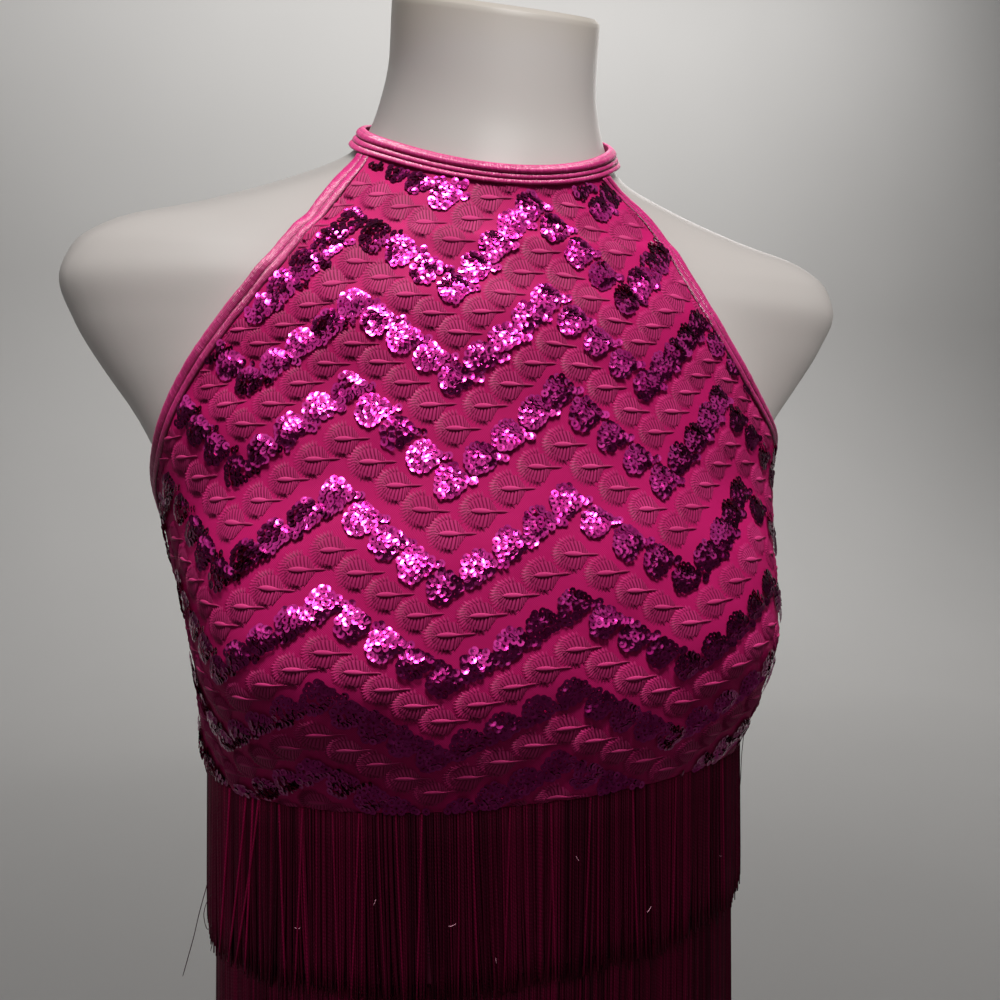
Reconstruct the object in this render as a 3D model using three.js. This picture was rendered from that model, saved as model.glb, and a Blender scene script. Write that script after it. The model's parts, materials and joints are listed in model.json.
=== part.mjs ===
// Halter-neck jazz dance top with two tiers of fringe, on a limbless dress form.
// Millimetres. +Z up, the front faces -Y, +X is the viewer's right.
// The origin is at the middle of the dress form's flat base.
//
// Form and cloth are both lofts of level rows. A row is an oval (half width,
// front depth, back depth, two roundness powers) joined smoothly with a flatter
// shoulder oval, and it may tip forward (tilt = rise per millimetre of depth),
// as the rows do towards the leaning neck. A point on a loft is given by its
// angle round the body from the front centre (positive towards +X) and its row
// height, with an offset outwards.

import * as THREE from 'three';

// ---- driving sizes -------------------------------------------------------
const HEM_ROW = 306.5;         // hem of the sequinned cloth at the front centre
const HEM_RISE = 3.0;          // how far the hem climbs to the sides
const HEM_SKEW = 3.6;          // how far it climbs towards +X
const LOW_RISE = 5.0;          // the same for the fringe ends
const LOW_SKEW = 6.0;
const WALL = 1.5;              // bodice cloth: net, embroidery and knit lining
const SEAM_GAP = 0.3;          // clear space between sewn pieces
const SIDE_SEAM = 92;          // angle of both side seams
const NECK_ROW = 581.6;        // row of the neck seam at the front centre
const NECK_RISE = 5.0;         // how far the neck seam climbs to the sides
const NECK_SKEW = 2.6;         // how far it climbs towards +X
const BAND_HEIGHT = 8.2;       // neck band, along the rows
const BINDING_WIDTH = 8.0;     // armhole and back binding
const BINDING_TOP = 0.9;       // binding, outside the cloth surface
const BINDING_UNDER = 1.9;     // binding, behind the cloth surface
// heights of the upper fringe's top, its tape and the midriff band's top are
// above the hem; the other heights are at the front centre; out and inn are
// offsets from the cloth surface
const TIER1 = { top: -0.5, bottom: 235.0, out: -0.6, inn: -3.1 };
const HEADER1 = { top: 11.0, bottom: 1.0, out: -2.3, inn: -3.2 };
const TIER2 = { top: 237.6, bottom: 160.0, out: -4.6, inn: -7.1 };
const HEADER2 = { top: 247.5, bottom: 238.2, out: -6.1, inn: -7.1 };
const MIDRIFF = { top: 12.5, bottom: 237.0, out: -3.7, thick: 1.0, taper: 4.7 };
const BUST_ANGLE = 50;         // angle of each bust cup's middle
const BUST_SPREAD = 19;        // half spread of a cup, in degrees
const JOIN_POWER = 12;         // how sharply the body and shoulder ovals join
const STUB_POWER = 3;          // roundness of the shoulder ends, seen from above

// ---- section tables ------------------------------------------------------
// columns: row height, half width, front depth, back depth, depth of the row's
// middle, front and back roundness, shoulder half width and half depth, cup, tilt
const COLS = ['v', 'a', 'bf', 'bb', 'y0', 'nf', 'nb', 'sa', 'sb', 'cup', 'tilt'];
const FORM_ROWS = [
  [0,   139,  86,   92,   4,  2.3, 2.2,  60, 30, 0,     0],
  [12,  145,  91,   97,   4,  2.3, 2.2,  60, 30, 0,     0],
  [60,  141,  90,   97,   4,  2.2, 2.1,  60, 30, 0,     0],
  [110, 125,  85,   88,   3,  2.2, 2.1,  60, 30, 0,     0],
  [153, 110,  80,   80,   1,  2.2, 2.1,  60, 30, 0,     0],
  [190, 105.5, 78,  75,   0,  2.2, 2.1,  60, 30, 0,     0],
  [225, 108,  81,   77,   0,  2.2, 2.1,  60, 30, 0,     0],
  [260, 113,  87,   81,   0,  2.2, 2.1,  60, 30, 0,     0],
  [300, 119,  93,   87,   0,  2.2, 2.1,  60, 30, 0,     0],
  [325, 124,  98,   92,   0,  2.25, 2.1, 70, 30, 0.04,  0],
  [362, 129,  101,  98,   0,  2.3, 2.1,  80, 30, 0.10,  0],
  [400, 138,  101,  101,  0,  2.3, 2.1,  90, 32, 0.06,  0],
  [435, 146,  99,   102,  0,  2.2, 2.1, 118, 36, 0.01,  0],
  [457, 149,  96,   101, -2,  2.1, 2.1, 145, 38, 0,     0],
  [480, 145,  90,   96,  -6,  2.0, 2.0, 168, 42, 0,     0],
  [502, 133,  81,   88, -12,  2.0, 2.0, 182, 44, 0,     0],
  [518, 121,  71,   80, -18,  2.0, 2.0, 187, 42, 0,     0.05],
  [533, 106,  63,   70, -23,  2.0, 2.0, 181, 36, 0,     0.12],
  [545, 94,   57.5, 63, -27,  2.0, 2.0, 163, 29, 0,     0.22],
  [555, 83,   53.5, 58, -29,  2.0, 2.0, 128, 25, 0,     0.34],
  [568, 71,   50.5, 54, -30,  2.0, 2.0,  90, 23, 0,     0.44],
  [582, 58.5, 49,   51, -30,  2.0, 2.0,  60.5, 24, 0,   0.50],
  [602, 51.5, 48,   48, -31,  2.0, 2.0,  45, 24, 0,     0.52],
  [625, 47.5, 47,   47, -36,  2.0, 2.0,  38, 24, 0,     0.52],
  [648, 47,   47,   47, -41.5, 2.0, 2.0, 38, 24, 0,     0.52],
  [650, 45,   45,   45, -42,  2.0, 2.0,  36, 22, 0,     0.52],
];
const CLOTH_ROWS = [
  [301, 128,  104,  97,   0,  2.25, 2.1,  60, 30, 0,     0],
  [315, 130,  108,  99,   0,  2.3,  2.1,  70, 30, 0.02,  0],
  [335, 131,  113,  101,  0,  2.35, 2.1,  80, 30, 0.06,  0],
  [362, 134,  116,  103,  0,  2.4,  2.1,  90, 30, 0.09,  0],
  [400, 143,  113,  106,  0,  2.3,  2.1, 100, 32, 0.05,  0],
  [435, 151,  106,  107,  0,  2.2,  2.1, 122, 38, 0,     0],
  [457, 154,  101,  105, -2,  2.1,  2.1, 150, 42, 0,     0],
  [480, 150,  95,   100, -6,  2.0,  2.0, 173, 47, 0,     0],
  [502, 138,  86,   92, -12,  2.0,  2.0, 187, 49, 0,     0],
  [518, 126,  76,   84, -18,  2.0,  2.0, 192, 48, 0,     0.05],
  [533, 112,  68,   75, -23,  2.0,  2.0, 188, 42, 0,     0.12],
  [545, 100,  62.5, 68, -27,  2.0,  2.0, 172, 36, 0,     0.22],
  [555, 89,   58.5, 63, -29,  2.0,  2.0, 140, 31, 0,     0.34],
  [568, 76.5, 55,   59, -30,  2.0,  2.0, 100, 29, 0,     0.44],
  [582, 62,   52.5, 55, -30,  2.0,  2.0,  64, 28, 0,     0.50],
  [602, 54.8, 51.5, 51.5, -31, 2.0, 2.0,  49, 28, 0,     0.52],
  [625, 51.5, 51,   51, -36,  2.0,  2.0,  42, 28, 0,     0.52],
];
// outer line of the armhole bindings, from the neck down under the arm:
// angle and row on each side. The top is worn a little towards -X.
const ARM_LINE = [
  { left: 79.5, vl: 594.0, right: 47.0, vr: 597.0 },
  { left: 76.4, vl: 584.0, right: 56.0, vr: 586.5 },
  { left: 72.4, vl: 568.0, right: 62.6, vr: 576.0 },
  { left: 69.3, vl: 549.3, right: 65.4, vr: 565.0 },
  { left: 66.6, vl: 528.5, right: 64.6, vr: 551.0 },
  { left: 66.2, vl: 510.7, right: 60.8, vr: 537.0 },
  { left: 67.6, vl: 497.2, right: 57.9, vr: 519.0 },
  { left: 69.6, vl: 484.3, right: 57.4, vr: 501.3 },
  { left: 71.9, vl: 473.0, right: 60.5, vr: 487.5 },
  { left: 74.5, vl: 461.6, right: 64.9, vr: 476.2 },
  { left: 77.6, vl: 449.0, right: 69.8, vr: 465.9 },
  { left: 83.2, vl: 433.1, right: 76.8, vr: 451.0 },
  { left: 92.0, vl: 417.0, right: 92.0, vr: 421.0 },
];
// outer line of the back binding: angle and row, the same on both sides
const BACK_LINE = [
  { angle: 92,  vl: 417, vr: 421 },
  { angle: 103, vl: 407, vr: 409 },
  { angle: 120, vl: 400, vr: 400.5 },
  { angle: 150, vl: 396, vr: 396 },
  { angle: 180, vl: 395, vr: 395 },
];

// ---- lofts ---------------------------------------------------------------
// Monotone cubic through the rows (Fritsch-Carlson slopes with three-point ends).
function slopes(x, y) {
  const n = x.length, h = [], d = [], m = new Array(n).fill(0);
  for (let i = 0; i < n - 1; i++) { h.push(x[i + 1] - x[i]); d.push((y[i + 1] - y[i]) / h[i]); }
  for (let i = 1; i < n - 1; i++) {
    if (d[i - 1] * d[i] > 0) {
      const w1 = 2 * h[i] + h[i - 1], w2 = h[i] + 2 * h[i - 1];
      m[i] = (w1 + w2) / (w1 / d[i - 1] + w2 / d[i]);
    }
  }
  m[0] = d[0]; m[n - 1] = d[n - 2];
  return m;
}
function curve(x, y) {
  const m = slopes(x, y);
  return (t) => {
    let i = 0;
    while (i < x.length - 2 && t > x[i + 1]) i++;
    const h = x[i + 1] - x[i], s = (t - x[i]) / h;
    if (s < 0) return y[0] + m[0] * (t - x[0]);
    if (s > 1) return y[i + 1] + m[i + 1] * (t - x[i + 1]);
    const s2 = s * s, s3 = s2 * s;
    return y[i] * (2 * s3 - 3 * s2 + 1) + h * m[i] * (s3 - 2 * s2 + s)
         + y[i + 1] * (3 * s2 - 2 * s3) + h * m[i + 1] * (s3 - s2);
  };
}
function loft(rows) {
  const v = rows.map((r) => r[0]);
  const c = {};
  COLS.slice(1).forEach((name, k) => { c[name] = curve(v, rows.map((r) => r[k + 1])); });
  return (deg, row, off = 0) => {
    let g = deg; while (g > 180) g -= 360; while (g < -180) g += 360;
    const p = g * Math.PI / 180, S = Math.sin(p), C = Math.cos(p);
    const front = C > 0;
    const a = c.a(row) + off, b = (front ? c.bf(row) : c.bb(row)) + off;
    const n = front ? c.nf(row) : c.nb(row);
    const cup = c.cup(row), w = BUST_SPREAD;
    let r1 = 1 / Math.pow(Math.pow(Math.abs(S) / a, n) + Math.pow(Math.abs(C) / b, n), 1 / n);
    r1 *= 1 + cup * (Math.exp(-(((g - BUST_ANGLE) / w) ** 2)) + Math.exp(-(((g + BUST_ANGLE) / w) ** 2)));
    const r2 = 1 / Math.pow(Math.pow(Math.abs(S) / (c.sa(row) + off), STUB_POWER)
      + Math.pow(Math.abs(C) / (c.sb(row) + off), STUB_POWER), 1 / STUB_POWER);
    const r = Math.pow(Math.pow(r1, JOIN_POWER) + Math.pow(r2, JOIN_POWER), 1 / JOIN_POWER);
    const y = -r * C;
    return new THREE.Vector3(r * S, y + c.y0(row), row + c.tilt(row) * y);
  };
}
const formAt = loft(FORM_ROWS);
const clothAt = loft(CLOTH_ROWS);
const climb = (skew, rise) => (deg) => {
  const S = Math.sin(deg * Math.PI / 180);
  return skew * S + rise * S * S;
};
const neckRow = (deg) => NECK_ROW + climb(NECK_SKEW, NECK_RISE)(deg);
const hemRow = (deg) => HEM_ROW + climb(HEM_SKEW, HEM_RISE)(deg);
const lowClimb = climb(LOW_SKEW, LOW_RISE);

// ---- seam lines ----------------------------------------------------------
// A line is a list of {g, v}: angle and row. side -1 is the -X armhole.
function armLine(side, steps) {
  const t = ARM_LINE.map((_, i) => i);
  const g = curve(t, ARM_LINE.map((r) => (side < 0 ? r.left : r.right)));
  const v = curve(t, ARM_LINE.map((r) => (side < 0 ? r.vl : r.vr)));
  const out = [];
  for (let i = 0; i <= steps; i++) {
    const s = i / steps * (ARM_LINE.length - 1);
    out.push({ g: side * g(s), v: v(s) });
  }
  return out;
}
function backRow(deg) {              // outer line of the back binding at an angle
  let g = deg; while (g > 180) g -= 360; while (g < -180) g += 360;
  const x = BACK_LINE.map((r) => r.angle);
  return curve(x, BACK_LINE.map((r) => (g < 0 ? r.vl : r.vr)))(Math.abs(g));
}
// the same line moved along the cloth by a distance, to the side given by turn
function inset(line, dist, turn) {
  return line.map((p, i) => {
    const a = line[Math.max(i - 1, 0)], b = line[Math.min(i + 1, line.length - 1)];
    const T = clothAt(b.g, b.v).sub(clothAt(a.g, a.v)).normalize();
    const P = clothAt(p.g, p.v);
    const G = clothAt(p.g + 0.5, p.v).sub(P).multiplyScalar(2);
    const V = clothAt(p.g, p.v + 0.5).sub(P).multiplyScalar(2);
    const N = G.clone().cross(V).normalize();
    const B = N.cross(T).multiplyScalar(turn * dist);
    const gg = G.dot(G), gv = G.dot(V), vv = V.dot(V), bg = B.dot(G), bv = B.dot(V);
    const det = gg * vv - gv * gv;
    return { g: p.g + (bg * vv - bv * gv) / det, v: p.v + (bv * gg - bg * gv) / det };
  });
}
// where a line stands at a row: angle as a function of the row
function angleAtRow(line, row) {
  for (let i = 0; i < line.length - 1; i++) {
    const a = line[i], b = line[i + 1];
    if ((a.v - row) * (b.v - row) <= 0 && a.v !== b.v) return a.g + (b.g - a.g) * (row - a.v) / (b.v - a.v);
  }
  return line[line.length - 1].g;
}
// cut the start of a line where it passes under the neck seam
function fromNeck(line, gap) {
  const under = (p) => p.v <= neckRow(p.g) - gap;
  const i = line.findIndex(under);
  const a = line[i - 1], b = line[i];
  let lo = 0, hi = 1;
  for (let k = 0; k < 30; k++) {
    const m = (lo + hi) / 2, p = { g: a.g + (b.g - a.g) * m, v: a.v + (b.v - a.v) * m };
    if (under(p)) hi = m; else lo = m;
  }
  return [{ g: a.g + (b.g - a.g) * hi, v: a.v + (b.v - a.v) * hi }, ...line.slice(i)];
}
// points at even spacing along a line
function resample(line, n) {
  const P = line.map((p) => clothAt(p.g, p.v)), L = [0];
  for (let i = 1; i < P.length; i++) L.push(L[i - 1] + P[i].distanceTo(P[i - 1]));
  const out = [];
  for (let k = 0; k <= n; k++) {
    const s = L[L.length - 1] * k / n;
    let i = 1; while (i < L.length - 1 && L[i] < s) i++;
    const f = (s - L[i - 1]) / (L[i] - L[i - 1]);
    out.push({ g: line[i - 1].g + (line[i].g - line[i - 1].g) * f, v: line[i - 1].v + (line[i].v - line[i - 1].v) * f });
  }
  return out;
}

// ---- solids --------------------------------------------------------------
function solid(name, points, tris, material) {
  let vol = 0;
  for (const [a, b, c] of tris) vol += points[a].dot(points[b].clone().cross(points[c]));
  const index = vol < 0 ? tris.flatMap(([a, b, c]) => [a, c, b]) : tris.flat();
  const g = new THREE.BufferGeometry();
  g.setAttribute('position', new THREE.Float32BufferAttribute(points.flatMap((p) => [p.x, p.y, p.z]), 3));
  g.setIndex(index);
  g.computeVertexNormals();
  const mesh = new THREE.Mesh(g, material);
  mesh.name = name;
  return mesh;
}
// a wall between an outer and an inner sheet; at(i, j, layer) with layer 0 outside
function wall(name, nu, nv, closed, at, material) {
  const cu = closed ? nu : nu + 1, points = [], tris = [];
  for (let k = 0; k < 2; k++) for (let j = 0; j <= nv; j++) for (let i = 0; i < cu; i++) points.push(at(i, j, k));
  const id = (i, j, k) => k * cu * (nv + 1) + j * cu + (i % cu);
  const quad = (a, b, c, d) => tris.push([a, b, c], [a, c, d]);
  for (let j = 0; j < nv; j++) for (let i = 0; i < nu; i++) {
    quad(id(i, j, 0), id(i + 1, j, 0), id(i + 1, j + 1, 0), id(i, j + 1, 0));
    quad(id(i, j, 1), id(i, j + 1, 1), id(i + 1, j + 1, 1), id(i + 1, j, 1));
  }
  for (let i = 0; i < nu; i++) {
    quad(id(i, 0, 0), id(i, 0, 1), id(i + 1, 0, 1), id(i + 1, 0, 0));
    quad(id(i, nv, 0), id(i + 1, nv, 0), id(i + 1, nv, 1), id(i, nv, 1));
  }
  if (!closed) for (let j = 0; j < nv; j++) {
    quad(id(0, j, 0), id(0, j + 1, 0), id(0, j + 1, 1), id(0, j, 1));
    quad(id(nu, j, 0), id(nu, j, 1), id(nu, j + 1, 1), id(nu, j + 1, 0));
  }
  return solid(name, points, tris, material);
}

// ---- materials -----------------------------------------------------------
const std = (color, roughness, metalness = 0) => new THREE.MeshStandardMaterial({ color, roughness, metalness });
const plastic = std(0xd9d3c7, 0.25);
const cloth = std(0xb01a64, 0.6);
const satin = std(0xd8419a, 0.4);
const knit = std(0xb8306f, 0.75);
const fringe = std(0x3a0016, 0.55);

const top = new THREE.Group();

// ---- dress form ----------------------------------------------------------
{
  const N = 48;
  const levels = [0, 5, 12, 36, 60, 85, 110, 132, 153, 190, 225, 260, 300, 325, 344, 362, 381, 400, 418, 435,
    457, 469, 480, 491, 502, 510, 518, 526, 533, 539, 545, 550, 555, 561, 568, 575, 582, 592, 602, 625, 648, 650];
  const points = [], tris = [];
  levels.forEach((v) => { for (let i = 0; i < N; i++) points.push(formAt(i * 360 / N - 180, v)); });
  for (let j = 0; j < levels.length - 1; j++) for (let i = 0; i < N; i++) {
    const a = j * N + i, b = j * N + (i + 1) % N, c = a + N, d = b + N;
    tris.push([a, b, d], [a, d, c]);
  }
  const cap = (j, flip) => {
    const m = new THREE.Vector3();
    for (let i = 0; i < N; i++) m.add(points[j * N + i]);
    points.push(m.divideScalar(N));
    const c = points.length - 1;
    for (let i = 0; i < N; i++) {
      const a = j * N + i, b = j * N + (i + 1) % N;
      tris.push(flip ? [c, b, a] : [c, a, b]);
    }
  };
  cap(0, true);
  cap(levels.length - 1, false);
  top.add(solid('dress_form', points, tris, plastic));
}

// ---- front ---------------------------------------------------------------
const HALF_GAP = 0.075;              // degrees: half of the 0.3 mm side seam gap
{
  const NU = 36;
  const rows = [HEM_ROW, 313, 321, 330, 340, 351, 362, 376, 389, 401, 411, 421, 432, 444, 457, 469, 480, 491, 502,
    513, 524, 535, 545, 554, 562, 570, 576, 582];
  const TOP_FROM = 545, LOW_TO = 351;
  const edge = {};
  for (const side of [-1, 1]) edge[side] = inset(armLine(side, 120), BINDING_WIDTH + SEAM_GAP + 0.4, -side);
  const rowAt = (deg, v) => {
    if (v < LOW_TO) return v + (hemRow(deg) - HEM_ROW) * (LOW_TO - v) / (LOW_TO - HEM_ROW);
    if (v <= TOP_FROM) return v;
    const w = (v - TOP_FROM) / (582 - TOP_FROM);
    return v + w * (neckRow(deg) - SEAM_GAP - 582);
  };
  const edgeAngle = (side, v) => {
    let g = side * SIDE_SEAM;
    if (v > edge[side][edge[side].length - 1].v + 0.01) {
      for (let k = 0; k < 6; k++) g = angleAtRow(edge[side], rowAt(g, v));
    }
    const lim = SIDE_SEAM - HALF_GAP;
    return side < 0 ? Math.max(g, -lim) : Math.min(g, lim);
  };
  const span = rows.map((v) => [edgeAngle(-1, v), edgeAngle(1, v)]);
  top.add(wall('front_panel', NU, rows.length - 1, false, (i, j, k) => {
    const deg = span[j][0] + (span[j][1] - span[j][0]) * i / NU;
    return clothAt(deg, rowAt(deg, rows[j]), k ? -WALL : 0);
  }, cloth));
}

// ---- back ----------------------------------------------------------------
{
  const NU = 26, NV = 7;
  const from = SIDE_SEAM + HALF_GAP, to = 360 - SIDE_SEAM - HALF_GAP;
  top.add(wall('back_panel', NU, NV, false, (i, j, k) => {
    const deg = from + (to - from) * i / NU;
    const high = backRow(deg) - BINDING_WIDTH - SEAM_GAP - 0.6;
    return clothAt(deg, hemRow(deg) + (high - hemRow(deg)) * j / NV, k ? -WALL : 0);
  }, cloth));
}

// ---- bindings ------------------------------------------------------------
function strip(name, outer, inner) {
  const n = outer.length - 1;
  top.add(wall(name, n, 1, false, (i, j, k) => {
    const p = j ? outer[i] : inner[i];
    return clothAt(p.g, p.v, k ? -BINDING_UNDER : BINDING_TOP);
  }, satin));
}
for (const side of [-1, 1]) {
  const N = 38;
  const line = armLine(side, 120);
  const low = line.length - 1;
  line[low] = { g: side * (SIDE_SEAM - HALF_GAP), v: line[low].v };
  const inner = inset(line, BINDING_WIDTH, -side);
  inner[low].g = side * (SIDE_SEAM - HALF_GAP);
  const gap = SEAM_GAP + 0.35;
  strip(side < 0 ? 'armhole_binding_left' : 'armhole_binding_right',
    resample(fromNeck(line, gap), N), resample(fromNeck(inner, gap), N));
}
{
  const N = 26;
  const from = SIDE_SEAM + HALF_GAP, to = 360 - SIDE_SEAM - HALF_GAP;
  const outer = [], inner = [];
  for (let i = 0; i <= N; i++) {
    const g = from + (to - from) * i / N;
    outer.push({ g, v: backRow(g) });
    inner.push({ g, v: backRow(g) - BINDING_WIDTH - 0.5 });
  }
  strip('back_binding', outer, inner);
}

// ---- neck band: closed ring round the form's neck -------------------------
{
  const N = 60;
  top.add(wall('neck_band', N, 2, true, (i, j, k) => {
    const deg = i * 360 / N - 180;
    return clothAt(deg, neckRow(deg) + BAND_HEIGHT * j / 2, k ? -1.6 : 1.0);
  }, satin));
}

// ---- fringe and what carries it -------------------------------------------
// a point straight under the hem
const hemAt = (deg, z, off) => { const p = clothAt(deg, hemRow(deg), off); p.z = z; return p; };
function ring(name, levels, at, material) {
  const N = 60;
  top.add(wall(name, N, levels, true, (i, j, k) => at(i * 360 / N - 180, j, k), material));
}
// knit midriff band: follows the cloth behind the hem, draws in below it
ring('midriff_band', 5, (deg, j, k) => {
  const off = MIDRIFF.out - k * MIDRIFF.thick, hem = hemRow(deg), low = MIDRIFF.bottom + lowClimb(deg);
  if (j > 3) return clothAt(deg, hem + MIDRIFF.top * (j - 3) / 2, off);
  return hemAt(deg, low + (hem - low) * j / 3, off - MIDRIFF.taper * (3 - j) / 3);
}, knit);
ring('fringe_header_upper', 1, (deg, j, k) =>
  clothAt(deg, hemRow(deg) + (j ? HEADER1.top : HEADER1.bottom), k ? HEADER1.inn : HEADER1.out), fringe);
ring('fringe_upper', 1, (deg, j, k) =>
  hemAt(deg, j ? hemRow(deg) + TIER1.top : TIER1.bottom + lowClimb(deg), k ? TIER1.inn : TIER1.out), fringe);
ring('fringe_header_lower', 1, (deg, j, k) =>
  hemAt(deg, lowClimb(deg) + (j ? HEADER2.top : HEADER2.bottom), k ? HEADER2.inn : HEADER2.out), fringe);
ring('fringe_lower', 1, (deg, j, k) =>
  hemAt(deg, lowClimb(deg) + (j ? TIER2.top : TIER2.bottom), k ? TIER2.inn : TIER2.out), fringe);

export default top;
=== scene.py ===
"""A sequinned halter-neck jazz dance top with tiered fringe, on a limbless dress form."""

import json
import math

import bpy
import numpy as np
from mathutils import Matrix, Vector

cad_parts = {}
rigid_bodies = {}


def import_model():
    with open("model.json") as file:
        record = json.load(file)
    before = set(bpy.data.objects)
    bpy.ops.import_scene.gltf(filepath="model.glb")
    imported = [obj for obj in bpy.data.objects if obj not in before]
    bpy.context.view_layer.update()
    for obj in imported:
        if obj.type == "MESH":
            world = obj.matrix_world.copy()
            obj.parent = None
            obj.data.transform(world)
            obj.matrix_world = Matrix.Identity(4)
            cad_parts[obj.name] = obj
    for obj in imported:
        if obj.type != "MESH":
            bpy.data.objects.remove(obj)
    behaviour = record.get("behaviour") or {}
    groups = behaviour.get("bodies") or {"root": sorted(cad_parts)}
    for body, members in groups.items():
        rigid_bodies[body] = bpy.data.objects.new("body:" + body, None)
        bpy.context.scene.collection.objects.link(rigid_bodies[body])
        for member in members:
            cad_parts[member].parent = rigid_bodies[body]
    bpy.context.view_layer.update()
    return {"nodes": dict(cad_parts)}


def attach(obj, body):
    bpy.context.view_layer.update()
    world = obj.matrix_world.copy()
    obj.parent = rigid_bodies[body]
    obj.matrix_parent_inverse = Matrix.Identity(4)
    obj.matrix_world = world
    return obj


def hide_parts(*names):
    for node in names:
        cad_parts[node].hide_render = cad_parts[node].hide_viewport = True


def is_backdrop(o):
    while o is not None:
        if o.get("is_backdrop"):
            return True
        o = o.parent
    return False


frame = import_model()
MM = 0.001

# ---------------------------------------------------------------- sizes (mm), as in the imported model
HEM_ROW, HEM_RISE, HEM_SKEW = 306.5, 3.0, 3.6
LOW_RISE, LOW_SKEW = 5.0, 6.0
SIDE_SEAM = 92.0
NECK_ROW, NECK_RISE, NECK_SKEW = 581.6, 5.0, 2.6
BAND_HEIGHT = 8.2
BINDING_WIDTH = 8.0
TIER1 = dict(top=-0.5, bottom=235.0, out=-0.6, inn=-3.1)
TIER2 = dict(top=237.6, bottom=160.0, out=-4.6, inn=-7.1)
MIDRIFF = dict(top=12.5, bottom=237.0, out=-3.7, thick=1.0, taper=4.7)
BUST_ANGLE, BUST_SPREAD, JOIN_POWER, STUB_POWER = 50.0, 19.0, 12.0, 3.0

# row height, half width, front depth, back depth, middle, front and back
# roundness, shoulder half width and half depth, cup, tilt
FORM_ROWS = [
    (0, 139, 86, 92, 4, 2.3, 2.2, 60, 30, 0, 0),
    (12, 145, 91, 97, 4, 2.3, 2.2, 60, 30, 0, 0),
    (60, 141, 90, 97, 4, 2.2, 2.1, 60, 30, 0, 0),
    (110, 125, 85, 88, 3, 2.2, 2.1, 60, 30, 0, 0),
    (153, 110, 80, 80, 1, 2.2, 2.1, 60, 30, 0, 0),
    (190, 105.5, 78, 75, 0, 2.2, 2.1, 60, 30, 0, 0),
    (225, 108, 81, 77, 0, 2.2, 2.1, 60, 30, 0, 0),
    (260, 113, 87, 81, 0, 2.2, 2.1, 60, 30, 0, 0),
    (300, 119, 93, 87, 0, 2.2, 2.1, 60, 30, 0, 0),
    (325, 124, 98, 92, 0, 2.25, 2.1, 70, 30, 0.04, 0),
    (362, 129, 101, 98, 0, 2.3, 2.1, 80, 30, 0.10, 0),
    (400, 138, 101, 101, 0, 2.3, 2.1, 90, 32, 0.06, 0),
    (435, 146, 99, 102, 0, 2.2, 2.1, 118, 36, 0.01, 0),
    (457, 149, 96, 101, -2, 2.1, 2.1, 145, 38, 0, 0),
    (480, 145, 90, 96, -6, 2.0, 2.0, 168, 42, 0, 0),
    (502, 133, 81, 88, -12, 2.0, 2.0, 182, 44, 0, 0),
    (518, 121, 71, 80, -18, 2.0, 2.0, 187, 42, 0, 0.05),
    (533, 106, 63, 70, -23, 2.0, 2.0, 181, 36, 0, 0.12),
    (545, 94, 57.5, 63, -27, 2.0, 2.0, 163, 29, 0, 0.22),
    (555, 83, 53.5, 58, -29, 2.0, 2.0, 128, 25, 0, 0.34),
    (568, 71, 50.5, 54, -30, 2.0, 2.0, 90, 23, 0, 0.44),
    (582, 58.5, 49, 51, -30, 2.0, 2.0, 60.5, 24, 0, 0.50),
    (602, 51.5, 48, 48, -31, 2.0, 2.0, 45, 24, 0, 0.52),
    (625, 47.5, 47, 47, -36, 2.0, 2.0, 38, 24, 0, 0.52),
    (648, 47, 47, 47, -41.5, 2.0, 2.0, 38, 24, 0, 0.52),
    (650, 45, 45, 45, -42, 2.0, 2.0, 36, 22, 0, 0.52),
]
CLOTH_ROWS = [
    (301, 128, 104, 97, 0, 2.25, 2.1, 60, 30, 0, 0),
    (315, 130, 108, 99, 0, 2.3, 2.1, 70, 30, 0.02, 0),
    (335, 131, 113, 101, 0, 2.35, 2.1, 80, 30, 0.06, 0),
    (362, 134, 116, 103, 0, 2.4, 2.1, 90, 30, 0.09, 0),
    (400, 143, 113, 106, 0, 2.3, 2.1, 100, 32, 0.05, 0),
    (435, 151, 106, 107, 0, 2.2, 2.1, 122, 38, 0, 0),
    (457, 154, 101, 105, -2, 2.1, 2.1, 150, 42, 0, 0),
    (480, 150, 95, 100, -6, 2.0, 2.0, 173, 47, 0, 0),
    (502, 138, 86, 92, -12, 2.0, 2.0, 187, 49, 0, 0),
    (518, 126, 76, 84, -18, 2.0, 2.0, 192, 48, 0, 0.05),
    (533, 112, 68, 75, -23, 2.0, 2.0, 188, 42, 0, 0.12),
    (545, 100, 62.5, 68, -27, 2.0, 2.0, 172, 36, 0, 0.22),
    (555, 89, 58.5, 63, -29, 2.0, 2.0, 140, 31, 0, 0.34),
    (568, 76.5, 55, 59, -30, 2.0, 2.0, 100, 29, 0, 0.44),
    (582, 62, 52.5, 55, -30, 2.0, 2.0, 64, 28, 0, 0.50),
    (602, 54.8, 51.5, 51.5, -31, 2.0, 2.0, 49, 28, 0, 0.52),
    (625, 51.5, 51, 51, -36, 2.0, 2.0, 42, 28, 0, 0.52),
]
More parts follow.
